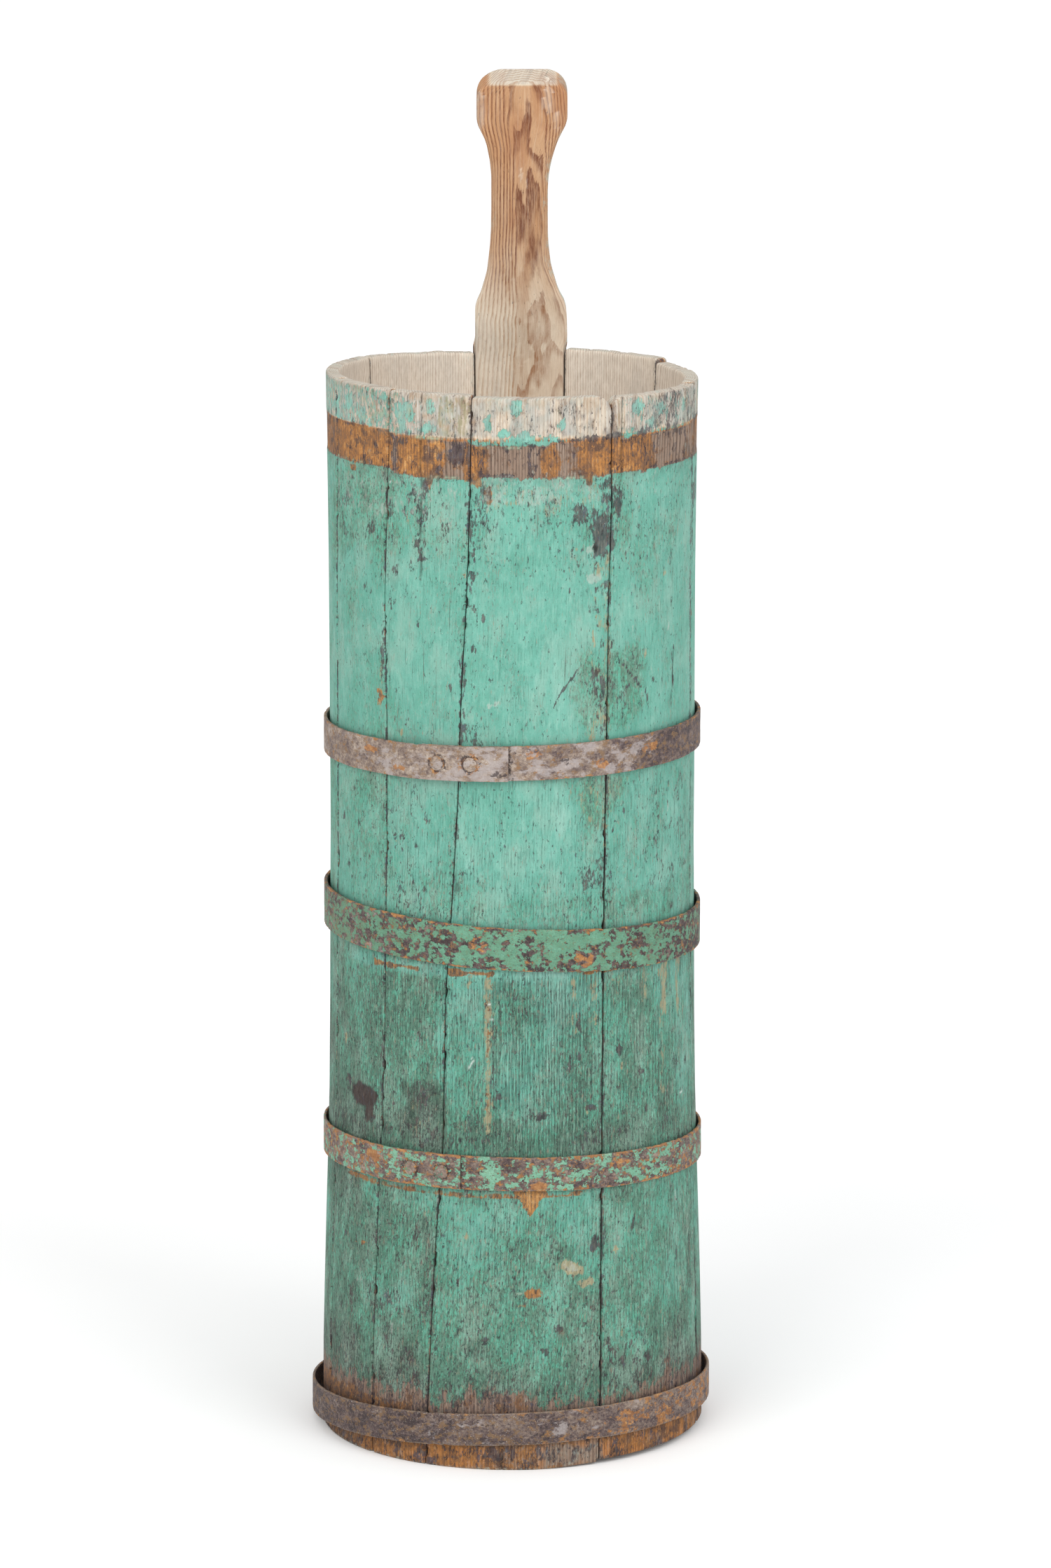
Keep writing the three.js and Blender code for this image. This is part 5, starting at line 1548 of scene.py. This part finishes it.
# ---------------------------------------------------------------- the barrel's floor
FLOOR_TURN = 12  # degrees the boards are turned about z
FLOOR_LOW, FLOOR_HIGH = 22.3, 35.7
FLOOR_FLAT_RADIUS = 120.2  # inside this the boards keep their full thickness
FLOOR_RIM = (124.3, 25.3, 32.7)  # bevelled rim: radius, low, high


def turned(points):
    c, s = math.cos(math.radians(FLOOR_TURN)), math.sin(math.radians(FLOOR_TURN))
    x, y, z = points.T
    return np.stack([x * c - y * s, x * s + y * c, z], -1)


def build_board(name, front, back, seed):
    """One board. front, back: y of its seams, or None where it runs to the rim."""
    length_count, width_count = ((80, 30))

    def section(share, radius, low, high):
        start = -radius * 0.9992 if front is None else front
        end = radius * 0.9992 if back is None else back
        y = start + (end - start) * np.linspace(0, 1, width_count)
        x = np.sqrt(np.maximum(radius * radius - y * y, 0)) * (2 * share - 1)
        top = np.stack([x, y, np.full(width_count, high)], -1)
        bottom = np.stack([x, y, np.full(width_count, low)], -1)[::-1]

        def side(p, q):
            return np.array([p + (q - p) * t for t in (0.1, 0.5, 0.9)])
        return np.concatenate([top, side(top[-1], bottom[0]), bottom, side(bottom[-1], top[0])])

    sections = [section(0, *FLOOR_RIM)]
    sections += [section(share, FLOOR_FLAT_RADIUS, FLOOR_LOW, FLOOR_HIGH)
                 for share in np.linspace(0, 1, length_count)]
    sections.append(section(1, *FLOOR_RIM))
    x, y, drawn_z = np.concatenate(sections).T
    rings, count = len(sections), len(sections[0])
    bottom, side = width_count + 3, 2 * width_count + 3  # where these points start in a section
    polys = []
    for base in (0, (rings - 1) * count):
        cells = [[base + j, base + j + 1, base + side - 2 - j, base + side - 1 - j]
                 for j in range(width_count - 1)]
        cells.append([base + k for k in range(width_count - 1, bottom + 1)])
        cells.append([base] + [base + k for k in range(side - 1, side + 3)])
        polys += [c[::-1] for c in cells] if base else cells

    # planing waves, open grain and eased seams on the upper face
    upper = (drawn_z > FLOOR_HIGH - 0.01).astype(float)
    wave = 0.25 * (fractal(x / 40, y / 9, seed, 3) - 0.5)
    seam = np.minimum(np.abs(y - (-999 if front is None else front)),
                      np.abs(y - (999 if back is None else back)))
    z = drawn_z - upper * (0.2 + wave + 0.3 * ease(0.6, 0.85, fractal(x / 60, y / 3, seed + 1, 3)))
    z = z - upper * 0.5 * np.exp(-seam / 1.2)
    ob = new_mesh(name, turned(np.stack([x, y, z], -1)), ring_quads(rings, count)[:, ::-1],
                  [p[::-1] for p in polys], smooth=False)

    mesh = ob.data
    heart_y = (-90 if front is None else front) * 0.3 + 15
    heart_drop = 8 + 10 * (fractal(x / 120, 0.0, seed + 2, 2) - 0.5)
    distance = np.sqrt((y - heart_y) ** 2 + (z + heart_drop) ** 2)
    ring = distance / 1.9 + 0.5 * (fractal(x / 50, y / 8, seed + 3, 3) - 0.5) + seed * 10
    set_attribute(mesh, "ring", ring)
    set_attribute(mesh, "scoord", y / 1000 + seed, x / 1000, seed * 2.1 + z / 1000)
    patch = fractal(x / 30, y / 22, seed + 4, 4)
    radius = np.hypot(x, y)
    dark = np.clip(0.12 + 0.5 * ease(108, 122, radius) + 0.4 * ease(0.55, 0.75, patch)
                   + 0.5 * np.exp(-seam / 1.4), 0, 1)
    tone = 0.34 + 0.3 * (patch - 0.5) + 0.2 * ease(100, 122, radius)
    set_attribute(mesh, "m1", 0, 0, dark, 0.1 + 0.3 * ease(0.5, 0.7, 1 - patch))
    set_attribute(mesh, "m2", 0, 0.5, tone, 0.2)
    set_attribute(mesh, "m3", 0, 0, 0, 0)
    set_attribute(mesh, "m4", 0.4, 0.2, 0.6, 0)
    mesh.materials.append(PINE)
    return ob


for node, front, back, seed in (("head_board_front", None, -43.15, 81),
                                ("head_board_middle", -42.85, 36.85, 82),
                                ("head_board_back", 37.15, None, 83)):
    install(build_board(node + "_wood", front, back, seed), "barrel", node, "bare_wood")


def build_dowel(name, x, y, seed):
    """A whittled pin between two boards, its ends chamfered."""
    half, radius, segments = 17.0, 3.5, 24
    chamfer = [(half, 1.2), (half - 0.05, radius - 1.1), (half - 1.2, radius - 0.15)]
    profile = [(-d, r) for d, r in chamfer]
    profile += [(d, radius) for d in np.linspace(-half + 3, half - 3, 12)] + chamfer[::-1]
    turn = np.arange(segments) * 2 * math.pi / segments
    facet = 1 - 0.035 * np.abs(np.sin(turn * 4 + seed))
    points = np.concatenate([
        np.stack([r * facet * np.cos(turn), np.full(segments, d), r * facet * np.sin(turn)], -1)
        for d, r in profile])
    rings = len(profile)
    caps = [list(range(segments)), list(range((rings - 1) * segments, rings * segments))[::-1]]
    centre = np.array([x, y, (FLOOR_LOW + FLOOR_HIGH) / 2])
    ob = new_mesh(name, turned(points + centre), ring_quads(rings, segments)[:, ::-1], caps)
    mesh = ob.data
    across, along, up = points.T
    set_attribute(mesh, "ring", np.hypot(across - 8, up + 5) / 1.2 + seed)
    set_attribute(mesh, "scoord", across / 1000 + seed, along / 1000, up / 1000)
    set_attribute(mesh, "m1", 0, 0, 0.1, 0.1)
    set_attribute(mesh, "m2", 0, 0.5, 0.35, 0.2)
    set_attribute(mesh, "m3", 0, 0, 0, 0)
    set_attribute(mesh, "m4", 0.4, 0.1, 0.6, 0)
    mesh.materials.append(PINE)
    return ob


for side, y in (("front", -43), ("back", 37)):
    for hand, x in (("left", -62), ("right", 58)):
        node = f"head_dowel_{side}_{hand}"
        install(build_dowel(node + "_pin", x, y, 90 + x // 10), "barrel", node, "bare_wood")


# ---------------------------------------------------------------- studio, in metres
def build_studio_floor(half=30.0):
    """A white floor that glows more with distance, so it runs into the background."""
    mesh = bpy.data.meshes.new("studio_floor")
    corners = [(-half, -half, 0), (half, -half, 0), (half, half, 0), (-half, half, 0)]
    mesh.from_pydata(corners, [], [(0, 1, 2, 3)])
    ob = bpy.data.objects.new("studio_floor", mesh)
    bpy.context.scene.collection.objects.link(ob)
    shader = Shader("studio_floor")
    position = shader.node("NewGeometry").outputs["Position"]
    shader.set("Base Color", shader.mix(shader.noise(position, scale=(3, 3, 3), detail=3),
                                        (0.90, 0.90, 0.895, 1), (0.92, 0.92, 0.915, 1)))
    shader.set("Roughness", 0.9)
    shader.set("Specular IOR Level", 0.1)
    distance = shader.node("VectorMath", operation="LENGTH")
    shader.put(distance.inputs[0], position)
    shader.set("Emission Color", (1.0, 1.0, 1.0, 1))
    shader.set("Emission Strength", shader.remap(distance.outputs["Value"], low=0.2, high=3.0,
                                                 to_low=0.05, to_high=0.36, smooth=True))
    mesh.materials.append(shader.material)


def build_world():
    """A soft sky for lighting, seen by the camera as plain white."""
    world = bpy.data.worlds.new("studio")
    bpy.context.scene.world = world
    world.use_nodes = True
    nodes, links = world.node_tree.nodes, world.node_tree.links
    sky = nodes["Background"]
    seen = nodes.new("ShaderNodeBackground")
    for background, colour, strength in ((sky, (0.985, 0.99, 1.0, 1), 0.74),
                                         (seen, (1.0, 1.0, 1.0, 1), 1.0)):
        background.inputs[0].default_value = colour
        background.inputs[1].default_value = strength
    path = nodes.new("ShaderNodeLightPath")
    pick = nodes.new("ShaderNodeMixShader")
    links.new(path.outputs["Is Camera Ray"], pick.inputs[0])
    links.new(sky.outputs[0], pick.inputs[1])
    links.new(seen.outputs[0], pick.inputs[2])
    links.new(pick.outputs[0], nodes["World Output"].inputs["Surface"])


def area_light(name, place, target, size, power, colour=(1, 1, 1)):
    light = bpy.data.lights.new(name, "AREA")
    light.shape = "RECTANGLE"
    light.size = light.size_y = size
    light.energy = power
    light.color = colour
    ob = bpy.data.objects.new(name, light)
    ob.location = place
    ob.rotation_euler = (Vector(target) - Vector(place)).to_track_quat("-Z", "Y").to_euler()
    bpy.context.scene.collection.objects.link(ob)


def build_camera():
    camera = bpy.data.objects.new("camera", bpy.data.cameras.new("camera"))
    camera.location = (0.0092, -4.322, 1.333)
    camera.rotation_euler = (math.radians(78.49), 0, 0)
    camera.data.lens = 146.4
    camera.data.sensor_width = 36
    camera.data.sensor_fit = "AUTO"
    camera.data.clip_end = 200
    bpy.context.scene.collection.objects.link(camera)
    bpy.context.scene.camera = camera


build_studio_floor()
build_world()
area_light("key", place=(-1.5, -2.5, 2.5), target=(0, 0, 0.4), size=2.0, power=44,
           colour=(1.0, 0.99, 0.97))
area_light("fill", place=(1.9, -2.3, 2.3), target=(0, 0, 0.4), size=1.8, power=36,
           colour=(0.98, 0.99, 1.0))
area_light("top", place=(0.2, -0.4, 3.2), target=(0, 0, 0.5), size=2.4, power=22)
build_camera()
bpy.context.scene.view_settings.view_transform = "Standard"
bpy.context.scene.view_settings.look = "None"
